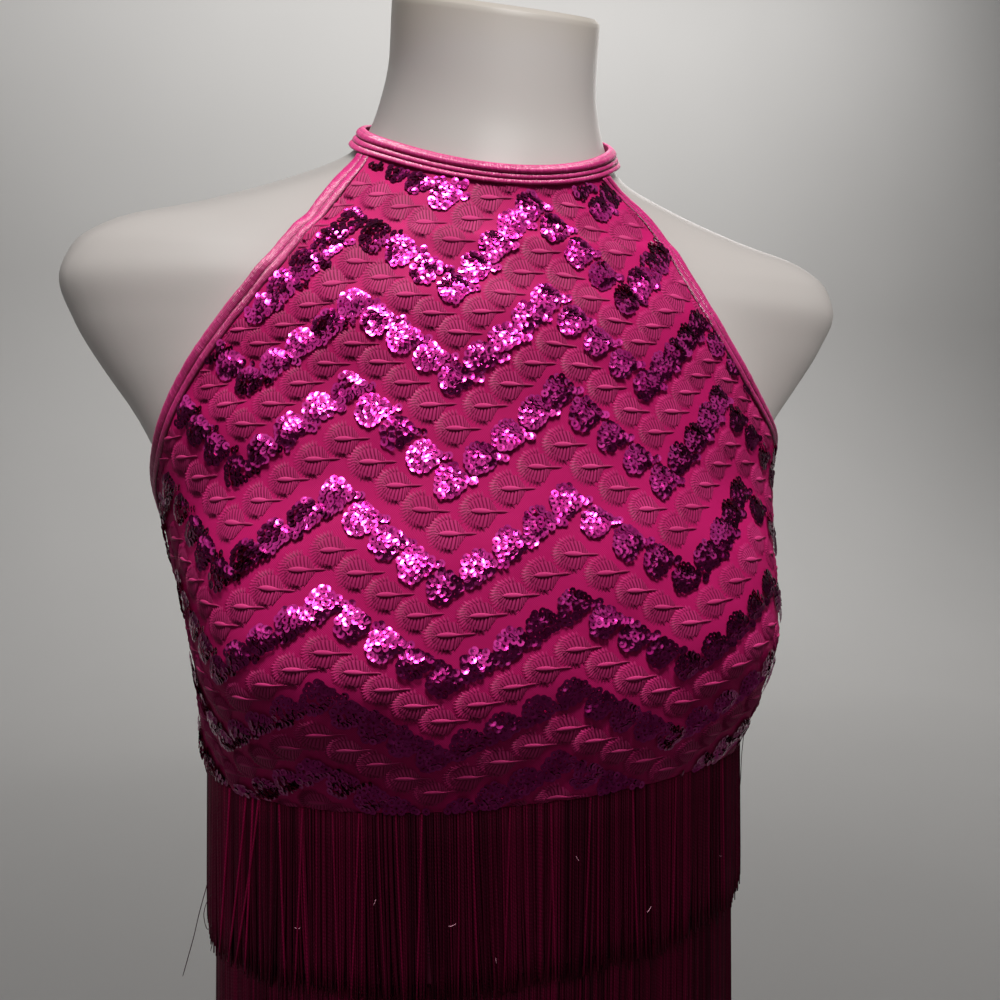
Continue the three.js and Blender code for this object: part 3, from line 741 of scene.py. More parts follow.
def binding(name, outer, inner, node, steps):
    """Tape between an outer and an inner line of the cloth."""
    go, vo = resample(*outer, steps)
    gi, vi = resample(*inner, steps)
    sec, n_out = tape_section(BINDING_WIDTH, 1.3, 1.9, (0.0, 0.56, 0.98), (1.0, 0.86))
    L = np.r_[0, np.cumsum(np.linalg.norm(np.diff(cloth_at(go, vo), axis=0), axis=1))]
    f = sec[:, 0] / BINDING_WIDTH
    g = go[:, None] + (gi - go)[:, None] * f
    r = vo[:, None] + (vi - vo)[:, None] * f
    f0 = sec[:, 0] / BINDING_WIDTH
    pucker = np.where(f0 < 0.56, puckers(L, 51)[:, None], puckers(L, 61)[:, None]) * (sec[:, 1] > 0.2) * (1 - 0.7 * sec[:, 2])
    P = cloth_at(g, r, sec[:, 1] + pucker)
    verts, q = swept(P, steps, False)
    k = len(sec)
    ends = []
    uv = np.stack([np.broadcast_to(sec[:, 0], g.shape), np.broadcast_to(L[:, None], g.shape)], -1).reshape(-1, 2)
    # close both ends between the outside and the inside of the fold
    out_i = list(range(0, n_out))
    in_i = list(range(k - 1, n_out - 1, -1))
    tris = []
    for base, flip in ((0, True), ((len(P) - 1) * k, False)):
        a, b = 0, 0
        while a < len(out_i) - 1 or b < len(in_i) - 1:
            if b >= len(in_i) - 1 or (a < len(out_i) - 1 and a / len(out_i) <= b / len(in_i)):
                t = (out_i[a], out_i[a + 1], in_i[b])
                a += 1
            else:
                t = (out_i[a], in_i[b + 1], in_i[b])
                b += 1
            if len(set(t)) == 3:
                t = tuple(x + base for x in t)
                tris.append(t[::-1] if flip else t)
    ob = make(name, verts, [q, np.array(tris)], [SATIN], [node], attrs={"groove": np.tile(sec[:, 2], len(P))}, uvs={"tape": uv})
    fix_normals(ob)
    return ob, L[-1]


def fix_normals(ob):
    """Turns a closed mesh inside out if its faces point in."""
    me = ob.data
    me.calc_loop_triangles()
    co = np.zeros(len(me.vertices) * 3)
    me.vertices.foreach_get("co", co)
    co = co.reshape(-1, 3)
    t = np.zeros(len(me.loop_triangles) * 3, np.int32)
    me.loop_triangles.foreach_get("vertices", t)
    t = t.reshape(-1, 3)
    c = co.mean(0)
    a, b, d = co[t[:, 0]] - c, co[t[:, 1]] - c, co[t[:, 2]] - c
    if (a * np.cross(b, d)).sum() < 0:
        me.flip_normals()


for side in (-1, 1):
    g, vv = arm_line(side, 240)
    g[-1] = side * (SIDE_SEAM - 0.075)
    gi, vi = inset(g, vv, BINDING_WIDTH, -side)
    gi[-1] = side * (SIDE_SEAM - 0.075)
    name = "armhole_tape_left" if side < 0 else "armhole_tape_right"
    node = "armhole_binding_left" if side < 0 else "armhole_binding_right"
    binding(name, from_neck(g, vv, 0.4), from_neck(gi, vi, 0.4), node, 260)
g = np.linspace(SIDE_SEAM + 0.075, 360 - SIDE_SEAM - 0.075, 160)
binding("back_tape", (g, back_row(g)), (g, back_row(g) - BINDING_WIDTH - 0.5), "back_binding", 170)

# neck band: the same tape, folded over the top edge, in a ring
N = 320
deg = np.arange(N) * 360 / N - 180
sec, n_out = tape_section(BAND_HEIGHT, 1.5, 1.6, (0.0, 0.4, 0.7, 0.99), (1.0, 0.8, 0.78))
up = BAND_HEIGHT - sec[:, 0]
base_line = cloth_at(deg, neck_row(deg))
L = np.r_[0, np.cumsum(np.linalg.norm(np.diff(base_line, axis=0), axis=1))]
f0 = sec[:, 0] / BAND_HEIGHT
pucker = np.where(f0 < 0.4, puckers(L, 71)[:, None], np.where(f0 < 0.7, puckers(L, 81)[:, None], puckers(L, 91)[:, None])) * (sec[:, 1] > 0.2) * (1 - 0.7 * sec[:, 2])
pucker = pucker * np.clip(np.minimum(np.arange(N), N - 1 - np.arange(N)) / 6, 0, 1)[:, None]
P = cloth_at(deg[:, None], neck_row(deg)[:, None] + up, sec[:, 1] + pucker)
verts, q = swept(P, N, True)
uv = np.stack([np.broadcast_to(sec[:, 0], P.shape[:2]), np.broadcast_to(L[:, None], P.shape[:2])], -1).reshape(-1, 2)
neck = make("neck_tape", verts, [q], [SATIN], ["neck_band"], attrs={"groove": np.tile(sec[:, 2], N)}, uvs={"tape": uv})
fix_normals(neck)
NECK_LENGTH = L[-1] + np.linalg.norm(base_line[0] - base_line[-1])

# ---------------------------------------------------------------- chevron of leaves
# The cloth's repeat in its own terms. W counts rows of sequinned leaves down the
# front, U counts chevrons across it. Leaves stand eight to a chevron.
ROW_Z = [(625, -2.0), (590, -1.0), (552, 0.0), (509.7, 1.0), (472.1, 2.0), (431.9, 3.0), (392.5, 4.0), (358.0, 5.0), (328.4, 6.0), (300, 7.0), (272, 8.0)]
V_ARC = [(300, -42.5), (329, -42.0), (359, -38.8), (393, -38.5), (432, -34.7), (472, -31.7), (509, -31.0), (550, -32.0), (600, -31.0)]
WIDE_R = [(300, 97), (329, 98), (357, 100), (392, 100), (430, 90), (476, 80.5), (508, 74), (545, 70), (600, 66)]
WIDE_L = [(300, 89), (357, 90), (392, 88), (438, 84.5), (472, 82), (505, 78), (550, 78), (600, 74)]
DROOP = [(300, 0), (430, -2.0), (470, 0.0), (505, 4.5), (545, 9.0), (600, 12)]
ZIG = [(-2, 0.88), (0, 0.88), (1, 0.87), (2, 0.9), (3, 0.9), (4, 0.82), (5, 0.8), (6, 0.8), (9, 0.8)]
PER = 8


def table(rows, x, col=1):
    t = np.array(sorted(rows), float)
    return curve(t[:, 0], t[:, col])(x)


class Chart:
    """(U, W) of the cloth's repeat over a stretch of angles, and back again."""

    def __init__(self, lo, hi, middle, v_arc, wide_l, wide_r, droop=True):
        self.phi = np.arange(lo, hi + 0.01, 0.5)
        self.z = np.arange(292, 604, 1.0)
        vs = np.arange(292, 660, 1.0)
        Z = cloth_at(self.phi[:, None], vs[None, :])[..., 2]
        self.v = np.array([np.interp(self.z, Z[i], vs) for i in range(len(self.phi))])
        P = cloth_at(self.phi[:, None], self.v)
        step = np.linalg.norm(np.diff(P, axis=0), axis=-1)
        arc = np.concatenate([np.zeros((1, len(self.z))), np.cumsum(step, 0)])
        arc -= arc[int(np.argmin(abs(self.phi - middle)))][None]
        zz = np.broadcast_to(self.z[None], arc.shape)
        a = arc - v_arc(zz)
        self.width = np.where(a > 0, wide_r(zz), wide_l(zz))
        self.U = a / self.width
        zc = zz + (table(DROOP, zz) * np.clip((P[..., 0] - 5) / 75, -1.5, 1.5) ** 2 if droop else 0)
        t = np.array(sorted(ROW_Z), float)
        self.W = curve(t[:, 0], t[:, 1])(zc)
        along = np.linalg.norm(np.gradient(P, axis=1), axis=-1)
        self.pitch = along / np.abs(np.gradient(self.W, axis=1))

    def find(self, u, w):
        """Angle, row, chevron width and row pitch where the cloth has (u, w); nan outside."""
        out = np.full((len(u), 4), np.nan)
        for k in range(len(u)):
            c = ((self.U - u[k]) * 2.2) ** 2 + (self.W - w[k]) ** 2
            i, j = np.unravel_index(np.argmin(c), c.shape)
            if c[i, j] > 0.02:
                continue
            i = min(max(i, 1), len(self.phi) - 2)
            j = min(max(j, 1), len(self.z) - 2)
            Ux, Uy = (self.U[i + 1, j] - self.U[i - 1, j]) / 2, (self.U[i, j + 1] - self.U[i, j - 1]) / 2
            Wx, Wy = (self.W[i + 1, j] - self.W[i - 1, j]) / 2, (self.W[i, j + 1] - self.W[i, j - 1]) / 2
            du, dw = u[k] - self.U[i, j], w[k] - self.W[i, j]
            det = Ux * Wy - Uy * Wx
            x, y = (du * Wy - dw * Uy) / det, (dw * Ux - du * Wx) / det
            x, y = np.clip(x, -1.5, 1.5), np.clip(y, -1.5, 1.5)
            phi, z = self.phi[i] + 0.5 * x, self.z[j] + y
            vz = np.interp(z, self.z, self.v[i]) + x * (np.interp(z, self.z, self.v[i + 1]) - np.interp(z, self.z, self.v[i - 1])) / 2
            out[k] = phi, vz, self.width[i, j], self.pitch[i, j]
        return out


front_chart = Chart(-97, 97, 0.0, lambda z: table(V_ARC, z), lambda z: table(WIDE_L, z), lambda z: table(WIDE_R, z))
back_chart = Chart(87, 273, 180.0, lambda z: 0 * z, lambda z: 88 + 0 * z, lambda z: 88 + 0 * z, droop=False)


def places(chart, half):
    """Every leaf of one chart: (kind, angle, row, size across, size up). Kind 0 is sequinned."""
    out = []
    for kind in (0, 1):
        for k in range(-3, 11):
            n = np.arange(-PER * 4, PER * 4 + 1)
            u = n / PER
            d = np.abs(u - np.round(u))
            w = k + 0.5 * kind - 2 * float(table(ZIG, k + 0.5 * kind)) * d
            f = chart.find(u, w)
            for phi, row, width, pitch in f[~np.isnan(f[:, 0])]:
                big = 1.19 if kind else 1.12
                out.append((kind, phi, row, big * (1 + 0.35 * (width / 82 - 1)), big * float(np.clip((pitch / 42) ** 0.75, 0.84, 1.25))))
    return np.array(out)


def inside(deg, row, pad=0.0):
    """True on the cloth that the bindings, band and hem leave free."""
    g = (np.asarray(deg) + 180) % 360 - 180
    ok = (row > hem_row(g) - 0.5 + pad) & (row < neck_row(g) - 0.3 - pad)
    lo, hi = edge_angle(-1, row, IN_EDGE), edge_angle(1, row, IN_EDGE)
    isfront = np.abs(g) < SIDE_SEAM
    width = 1 / 2.3
    f = (g > lo + pad * width) & (g < hi - pad * width)
    b = (row < back_row(g) - BINDING_WIDTH - 0.3 - pad)
    return ok & np.where(isfront, f, b)


def spread_on(phi, row, p, q, h):
    """Points (p across, q up, h out, mm) round places on the cloth: (n, m, 3)."""
    P, G, V, N = normal_at(phi, row)
    E = G / np.linalg.norm(G, axis=1, keepdims=True)
    E[:, 2] = 0  # across the cloth, level
    E -= (E * N).sum(1, keepdims=True) * N
    E /= np.linalg.norm(E, axis=1, keepdims=True)
    F = np.cross(N, E)
    B = E[:, None] * p[..., None] + F[:, None] * q[..., None]
    ph, rw = np.broadcast_to(phi[:, None], p.shape), np.broadcast_to(row[:, None], p.shape)
    dg, dv = in_surface(ph, rw, B)
    # one correction step keeps distances true on the curved cloth
    Q = cloth_at(ph + dg, rw + dv)
    miss = (P[:, None] + B) - Q
    ddg, ddv = in_surface(ph + dg, rw + dv, miss)
    gd, rd = ph + dg + ddg * 0.9, rw + dv + ddv * 0.9
    off = soft(gd, rd) + hem_curl(gd, rd)
    return cloth_at(gd, rd, h + off), gd, rd


def rand_of(n, seed):
    return np.random.default_rng(seed).random(n)


# ---- satin-stitched leaves
def leaf_mesh():
    """One stitched leaf: points (p, q, h), faces, stitch count, tone and painted shade between stitches."""
    pts, faces, stitch, tone, deep = [], [], [], [], []

    def block(P, Q, H, S, T, G):
        base = len(pts)
        rows, cols = P.shape
        for j in range(rows):
            for i in range(cols):
                pts.append((P[j, i], Q[j, i], H[j, i]))
                stitch.append(S[j, i])
                tone.append(T[j, i])
                deep.append(G[j, i])
        for j in range(rows - 1):
            for i in range(cols - 1):
                a = base + j * cols + i
                faces.append((a, a + 1, a + cols + 1, a + cols))

    # comb of short stitches round the outside, open towards the tail
    n = 19
    i = np.arange(2 * n + 1)
    a = np.radians(np.linspace(78, 288, 2 * n + 1))
    crest = (i % 2).astype(float)
    odd = 0.2 * np.sin(i * 2.3) + 0.14 * np.sin(i * 5.1)
    ends = np.array([0.0, 0.55, 1.0])[:, None]
    rim = np.where(crest > 0, 0.35 + odd, -1.1)
    ax = 3.5 + (6.7 + rim - 3.5) * ends
    ay = 3.7 + (6.6 + rim - 3.7) * ends
    swirl = a[None] - np.radians(12) * (1 - ends)
    P, Q = 0.3 + ax * np.cos(swirl), ay * np.sin(swirl)
    up = np.array([0.3, 0.5, 0.1])[:, None] * (0.2 + 0.8 * crest[None])
    S = np.broadcast_to(i[None] / 2 + 0.25, P.shape)
    # the gaps between the comb's stitches get painted shade
    block(P, Q, up, S, 0.1 + 0.2 * ends + 0 * P, (1 - crest)[None] + 0 * P)
    # fan of longer stitches that run from the spindle to the comb
    edge = [(6.0, 0.3), (4.9, 2.0), (3.2, 4.5), (1.3, 4.75), (-0.9, 4.3), (-2.8, 3.0), (-3.95, 1.0),
            (-4.0, -1.0), (-2.9, -3.0), (-1.0, -4.4), (1.0, -5.1), (2.9, -5.0), (4.7, -2.3), (6.0, -0.25)]
    root = [5.6, 4.9, 3.8, 2.3, 0.4, -1.3, -2.4, -2.4, -1.3, 0.3, 2.0, 3.6, 4.9, 5.6]
    edge, root = np.array(edge), np.array(root)
    L = np.r_[0, np.cumsum(np.linalg.norm(np.diff(edge, axis=0), axis=1))]
    n = 24
    i = np.arange(2 * n + 1)
    t = np.linspace(0, L[-1], 2 * n + 1)
    crest = (i % 2).astype(float)
    ex, ey, rx = np.interp(t, L, edge[:, 0]), np.interp(t, L, edge[:, 1]), np.interp(t, L, root)
    side = np.sign(ey) * 0.25
    f = np.array([0.0, 0.6, 1.0])[:, None] * (1 + 0.04 * crest * np.sin(i * 1.7) + 0.03 * crest - 0.05 * (1 - crest))[None]
    P = rx[None] + (ex - rx)[None] * f
    Q = side[None] + (ey - side)[None] * f
    near = np.clip((6.0 - ex) / 3, 0.4, 1)[None]
    H = np.array([0.62, 0.72, 0.34])[:, None] * near * (0.5 + 0.5 * crest[None])
    S = np.broadcast_to(i[None] / 2 - 0.25, P.shape)
    # the gaps between the fan's stitches get painted shade
    block(P, Q, H, S, 0.7 + 0.25 * (1 - f), (1 - crest)[None] + 0 * P)
    # raised spindle along the middle, running out into the tail
    xs = np.array([-2.5, -1.9, -0.9, 0.5, 1.9, 3.1, 4.0, 4.9, 5.9, 7.0, 8.1, 9.2])
    wd = np.array([0.05, 0.62, 0.96, 1.08, 0.98, 0.7, 0.42, 0.36, 0.46, 0.5, 0.38, 0.05])
    ht = np.array([0.6, 0.78, 0.92, 1.0, 0.95, 0.82, 0.7, 0.56, 0.42, 0.36, 0.3, 0.12])
    th = np.radians([-90, -40, 5, 45, 90])
    P = xs[:, None] + 0 * th
    bend = 0.12 * np.sin(np.clip(xs - 5, 0, 6) / 6 * np.pi)
    Q = bend[:, None] + wd[:, None] * np.sin(th)
    foot = np.array([0.5, 0.5, 0.5, 0.5, 0.5, 0.45, 0.3, 0.15, 0.05, 0.05, 0.05, 0.05])[:, None]
    H = foot + (ht[:, None] - foot) * np.cos(th) ** 0.7
    S = np.broadcast_to(xs[:, None] * 1.6 + 0 * th, P.shape)
    body = np.clip((4.4 - xs) / 1.0, 0, 1)[None]
    # painted shade on the spindle's lower side, and about half as much over the whole tail
    block(P.T, Q.T, H.T, S.T, (0.35 + 0.65 * body) + 0 * P.T, np.where(Q.T < bend[None] - 0.3 * wd[None], 0.75, 0.1) * body + 0.55 * (1 - body))
    return np.array(pts), np.array(faces), np.array(stitch), np.array(tone), np.array(deep)


def leaves(name, spots, seed):
    pts, faces, stitch, tone, deep = leaf_mesh()
    phi, row, wide, tall = spots.T[1:]
    r = np.random.default_rng(seed)
    turn = np.radians(r.normal(0, 2.5, len(spots)))[:, None]
    sc = r.normal(1, 0.02, len(spots))[:, None]
    p, q = pts[None, :, 0] * wide[:, None] * sc, pts[None, :, 1] * tall[:, None] * sc
    p, q = p * np.cos(turn) - q * np.sin(turn), p * np.sin(turn) + q * np.cos(turn)
    X, gd, rd = spread_on(phi, row, p, q, np.broadcast_to(pts[:, 2], p.shape))
    ok = inside(gd, rd, 0.0)
    n, m = p.shape
    F = faces[None] + (np.arange(n) * m)[:, None, None]
    keep = ok.reshape(-1)[F].all(-1)
    F = F[keep]
    used = np.unique(F)
    new = np.full(n * m, -1)
    new[used] = np.arange(len(used))
    side = int(math.ceil(math.sqrt(n)))
    cell = np.stack([(np.arange(n) % side), (np.arange(n) // side)], -1)[:, None].astype(float)
    loc = np.stack([(p + 9.0) / 22, (q + 10.5) / 21], -1).clip(0.02, 0.98)
    uv = ((cell + loc) / side).reshape(-1, 2)[used]
    shade = np.repeat(r.random(n), m)[used]
    return make(name, X.reshape(-1, 3)[used], [new[F]], [STITCH],
                attrs={"stitch": np.tile(stitch, n)[used], "tone": np.tile(tone, n)[used], "deep": np.tile(deep, n)[used], "shade": shade}, uvs={"OFBake": uv})


# ---- sequinned leaves
def sequin_spots():
    """Where the sequins of a leaf sit: (p, q, lift, way out, way along)."""
    out = []
    hinge = np.array([6.4, 0.2])
    for s, n, lift in ((1.0, 10, 0.95), (0.77, 8, 0.88), (0.54, 6, 0.84), (0.32, 3, 0.84)):
        for t in np.linspace(72, 288, n):
            a = math.radians(t)
            rim = np.array([-0.4 + 4.1 * math.cos(a) + 0.5 * math.sin(a), 5.0 * math.sin(a)])
            at = hinge + s * (rim - hinge)
            out.append((at[0], at[1], lift, math.atan2(math.sin(a), math.cos(a)), a + math.pi / 2))
    for p, q, lift in ((5.6, 0.4, 0.84), (7.2, -0.1, 0.74), (8.7, 0.2, 0.6)):
        out.append((p, q, lift, math.pi, 0.0))
    return np.array(out)


def sequins(name, spots, seed, cups=9):
    base = sequin_spots()
    phi, row, wide, tall = spots.T[1:]
    r = np.random.default_rng(seed)
    n, m = len(spots), len(base)
    p = base[None, :, 0] * wide[:, None] + r.normal(0, 0.3, (n, m))
    q = base[None, :, 1] * tall[:, None] * (1 + r.normal(0, 0.05, (n, 1))) + r.normal(0, 0.3, (n, m))
    h = np.broadcast_to(base[:, 2], (n, m)) + r.normal(0, 0.05, (n, m))
    X, gd, rd = spread_on(phi, row, p, q, h)
    ok = inside(gd, rd, 1.1) & (r.random((n, m)) > 0.01)
    X, gd, rd = X[ok], gd[ok], rd[ok]
    out, along = (np.broadcast_to(base[:, c], (n, m))[ok] for c in (3, 4))
    # every leaf is sewn a little tighter one way or another
    set_a, set_b = (np.repeat(r.normal(0, 5.0, n), m).reshape(n, m)[ok] for _ in (0, 1))
    _, G, V, Nn = normal_at(gd, rd)
    E = G / np.linalg.norm(G, axis=1, keepdims=True)
    F = np.cross(Nn, E)
    k = len(X)
    way = lambda a: E * np.cos(a)[:, None] + F * np.sin(a)[:, None]
    # each sequin leans on its neighbours, out from the tail and back along its row
    lean_out = np.tan(np.radians(7 + r.normal(0, 2.5, k)))[:, None]
    lean_back = np.tan(np.radians(5 + r.normal(0, 2.5, k)))[:, None]
    tx, ty = np.tan(np.radians(set_a + r.normal(0, 2.8, k)))[:, None], np.tan(np.radians(set_b + r.normal(0, 2.8, k)))[:, None]
    nn = Nn + lean_out * way(out) - lean_back * way(along) + tx * E + ty * F
    nn /= np.linalg.norm(nn, axis=1, keepdims=True)
    e = E - (E * nn).sum(1, keepdims=True) * nn
    e /= np.linalg.norm(e, axis=1, keepdims=True)
    f = np.cross(nn, e)
    t = np.arange(cups) * 2 * np.pi / cups
    spin = r.random(k)[:, None] * 2 * np.pi
    c, s = np.cos(t[None] + spin), np.sin(t[None] + spin)
    ringv = []
    for rr, hh in zip((0.38, 1.6), (-0.05, 0.05)):
        ringv.append(X[:, None] + rr * (c[..., None] * e[:, None] + s[..., None] * f[:, None]) + hh * nn[:, None])
    verts = np.stack(ringv, 1)  # k, 2, cups, 3
    i = np.arange(cups)
    q4 = np.stack([i, i + cups, (i + 1) % cups + cups, (i + 1) % cups], -1)
    faces = (q4[None] + (np.arange(k) * 2 * cups)[:, None, None]).reshape(-1, 4)
    tone = np.repeat(np.clip(r.beta(2.0, 2.0, k), 0, 1), 2 * cups)
    radv = np.tile(np.repeat([0.0, 1.0], cups), k)
    side = int(math.ceil(math.sqrt(k)))
    cell = np.stack([np.arange(k) % side, np.arange(k) // side], -1)[:, None].astype(float)
    ring_r = np.repeat([0.12, 0.44], cups)
    loc = np.stack([0.5 + ring_r * np.cos(np.tile(t, 2)), 0.5 + ring_r * np.sin(np.tile(t, 2))], -1)[None]
    uv = ((cell + loc) / side).reshape(-1, 2)
    return make(name, verts.reshape(-1, 3), [faces], [SEQUIN], attrs={"tone": tone, "rad": radv}, uvs={"OFBake": uv})


front_spots, back_spots = places(front_chart, 0), places(back_chart, 1)


def near(spots, isfront):
    g = (spots[:, 1] + 180) % 360 - 180
    ok = np.abs(g) < SIDE_SEAM + 5 if isfront else np.abs(g) > SIDE_SEAM - 5
    top = np.where(np.abs(g) < SIDE_SEAM, neck_row(g), back_row(g))
    ok &= (spots[:, 2] > hem_row(g) - 10) & (spots[:, 2] < top + 12)
    return spots[ok]


front_spots, back_spots = near(front_spots, True), near(back_spots, False)


_inside = inside


def inside_front(deg, row, pad=0.0):
    g = (np.asarray(deg) + 180) % 360 - 180
    return _inside(deg, row, pad) & (np.abs(g) < SIDE_SEAM - 0.2 - pad * 0.4)


def inside_back(deg, row, pad=0.0):
    g = (np.asarray(deg) + 180) % 360 - 180
    return _inside(deg, row, pad) & (np.abs(g) > SIDE_SEAM + 0.2 + pad * 0.4)


inside = inside_front
front_leaves = leaves("front_leaves", front_spots[front_spots[:, 0] == 1], 11)
discs = front_spots[front_spots[:, 0] == 0]
front_discs = [sequins("front_sequins_left", discs[discs[:, 1] < 0], 12), sequins("front_sequins_right", discs[discs[:, 1] >= 0], 15)]
inside = inside_back
back_leaves = leaves("back_leaves", back_spots[back_spots[:, 0] == 1], 13)
back_discs = sequins("back_sequins", back_spots[back_spots[:, 0] == 0], 14)

# ---------------------------------------------------------------- midriff band
N = 240
deg = np.arange(N) * 360 / N - 180
t = np.linspace(0, 1, 25)


def midriff(k):
    off = MIDRIFF["out"] - k * MIDRIFF["thick"]
    rows = []
    for s in t:
        if s > 0.8:
            rows.append(cloth_at(deg, hem_row(deg) + MIDRIFF["top"] * (s - 0.8) / 0.2, off))
        else:
            low = MIDRIFF["bottom"] + low_climb(deg)
            z = low + (hem_row(deg) - low) * s / 0.8
            rows.append(hem_at(deg, z, off - MIDRIFF["taper"] * (1 - s / 0.8)))
    return np.array(rows)


mo, mi = midriff(0), midriff(1)
verts, faces = wall_mesh(mo, mi, True)
u = np.broadcast_to(np.arange(N) * 3.0, (25, N))
w = np.broadcast_to((t * 85)[:, None], (25, N))
cm = np.stack([u, w], -1).reshape(-1, 2)
band = make("midriff_knit_band", verts, faces, [KNIT], ["midriff_band"], uvs={"cloth": np.concatenate([cm, cm])})


# ---------------------------------------------------------------- fringe
def tube_part(paths, radius, shade, sides):
    """Points, faces and attributes of threads along paths (n, steps, 3)."""
    n, k, _ = paths.shape
    d = np.gradient(paths, axis=1)
    d /= np.linalg.norm(d, axis=2, keepdims=True) + 1e-9
    ref = np.stack([paths[..., 0], paths[..., 1], np.zeros((n, k))], -1)
    ref /= np.linalg.norm(ref, axis=2, keepdims=True) + 1e-9
    a = np.cross(ref, d)
    a /= np.linalg.norm(a, axis=2, keepdims=True) + 1e-9
    b = np.cross(d, a)
    th = np.arange(sides) * 2 * np.pi / sides + np.pi / sides
    radius = np.broadcast_to(np.asarray(radius, float), (n,))
    taper = np.ones(k)
    taper[-1] = 0.6
    R = radius[:, None, None, None] * taper[None, :, None, None]
    V = paths[:, :, None] + R * (np.cos(th)[None, None, :, None] * a[:, :, None] + np.sin(th)[None, None, :, None] * b[:, :, None])
    j, s = np.meshgrid(np.arange(k - 1), np.arange(sides), indexing="ij")
    q = np.stack([j * sides + s, j * sides + (s + 1) % sides, (j + 1) * sides + (s + 1) % sides, (j + 1) * sides + s], -1).reshape(-1, 4)
    start = (np.arange(n) * k * sides)[:, None]
    faces = (q[None] + start[:, :, None]).reshape(-1, 4)
    caps = np.concatenate([np.arange(sides)[::-1][None] + start, (k - 1) * sides + np.arange(sides)[None] + start])
    L = np.concatenate([np.zeros((n, 1)), np.cumsum(np.linalg.norm(np.diff(paths, axis=1), axis=2), 1)], 1)
    return dict(verts=V.reshape(-1, 3), faces=faces, caps=caps, run=np.repeat(L.ravel(), sides), turn=np.tile(np.arange(sides) / sides, n * k),
                shade=np.repeat(shade, k * sides), tip=np.repeat(np.tile(np.linspace(0, 1, k), n), sides), n=n, k=k, sides=sides)


def tubes(name, groups, mats, replaces, index=None):
    """One piece of several groups of threads: each (paths, radius, shade, sides)."""
    parts = [tube_part(*g) for g in groups]
    total = sum(p["n"] for p in parts)
    base, row, faces, uv = 0, 0, [], []
    wide = int(math.ceil(total / 2))
    for p in parts:
        i = np.arange(p["n"]) + row
        col = (i % wide)[:, None, None] + 0.2 + 0.6 * np.abs(np.arange(p["sides"]) / p["sides"] - 0.5)[None, None] * 2
        vv = (i // wide)[:, None, None] * 0.5 + 0.01 + 0.48 * (np.arange(p["k"]) / (p["k"] - 1))[None, :, None]
        uv.append(np.stack(np.broadcast_arrays(col / wide, vv), -1).reshape(-1, 2))
        faces += [p["faces"] + base, p["caps"] + base]
        base += len(p["verts"])
        row += p["n"]
    get = lambda key: np.concatenate([p[key] for p in parts])
    mi = None
    if index is not None:
        mi = np.concatenate([np.full(len(p[f]), m) for p, m in zip(parts, index) for f in ("faces", "caps")])
    ob = make(name, get("verts"), faces, mats, replaces, index=mi,
              attrs={"run": get("run"), "turn": get("turn"), "shade": get("shade"), "tip": get("tip")}, uvs={"OFBake": np.concatenate(uv)})
    fix_normals(ob)
    return ob


def tier(name, T, hem_top, replaces, seed, ends, layers):
    r = np.random.default_rng(seed)
    ring = hem_at(np.linspace(-180, 180, 721), 250.0, 0.0)
    per = np.linalg.norm(np.diff(ring, axis=0), axis=1)
    L = np.r_[0, np.cumsum(per)]
    all_paths, all_r, all_s = [], [], []
    for li, (off, pitch, rad) in enumerate(layers):
        k = (7, 5, 5)[li]
        n = int(L[-1] / pitch)
        s = (np.arange(n) + 0.5 + r.normal(0, 0.22, n)) * L[-1] / n
        phi = np.interp(s % L[-1], L, np.linspace(-180, 180, 721))
        z1 = T["bottom"] + low_climb(phi) + ends(phi) + r.normal(0, 1.5, n) - 2.5 * (r.random(n) > 0.95) + 3.5 * (r.random(n) > 0.97)
        if li:
            z1 = z1 + 1.0
        z0 = (hem_row(phi) + T["top"]) if hem_top else (T["top"] + low_climb(phi))
        z0 = z0 + (0.2 if li == 0 else 1.0 * li)
        tt = np.linspace(0, 1, k)[None]
        z = z0[:, None] + (z1 - z0)[:, None] * tt
        # threads drift together in loose bundles
        drift = 1.2 * np.sin(s / 6.3 + 3 * np.sin(s / 41)) + 0.8 * np.sin(s / 2.9 + 1.3) + r.normal(0, 0.5, n)
        lean = 1.0 * np.sin(s / 57 + seed) + 0.6 * np.sin(s / 23)
        side = (drift[:, None] * tt**1.5 * (0.8 + 0.4 * np.sin(3 * tt + s[:, None]))) + lean[:, None] * tt
        out = off + 0.22 * np.sin(s / 4.1)[:, None] * tt + r.normal(0, 0.12, (n, 1)) * tt
        out = np.minimum(out, T["out"] + 0.55)
        P = hem_at(phi[:, None] + 0 * tt, z, out)
        Q = hem_at(phi[:, None] + 0.5 + 0 * tt, z, out)
        E = Q - P
        E[..., 2] = 0
        E /= np.linalg.norm(E, axis=2, keepdims=True)
        P = P + E * side[..., None]
        all_paths.append(P)
        all_r.append(rad * (1 + r.normal(0, 0.06, n)))
        sh = np.clip(0.75 * r.beta(1.6, 6.0, n) + 0.06 * np.sin(s / 11 + li) + 0.22 * (r.random(n) > 0.975), 0, 1)
        all_s.append(sh)
    return all_paths, all_r, all_s


def strand(points, k=6):
    """A smooth path of k points through a few given ones."""
    p = np.array(points, float)
    t = np.r_[0, np.cumsum(np.linalg.norm(np.diff(p, axis=0), axis=1))]
    s = np.linspace(0, t[-1], k)
    return np.stack([curve(t, p[:, c])(s) if len(p) > 2 else np.interp(s, t, p[:, c]) for c in range(3)], -1)


def low_ends(phi):
    return 1.1 * np.sin(np.radians(phi) * 7 + 1.0) + 0.9 * np.sin(np.radians(phi) * 17 + 2.0)


paths1, rad1, shade1 = tier("upper", TIER1, True, [], 21, low_ends, ((-0.95, 0.98, 0.5), (-1.75, 0.98, 0.5), (-2.6, 1.05, 0.5)))
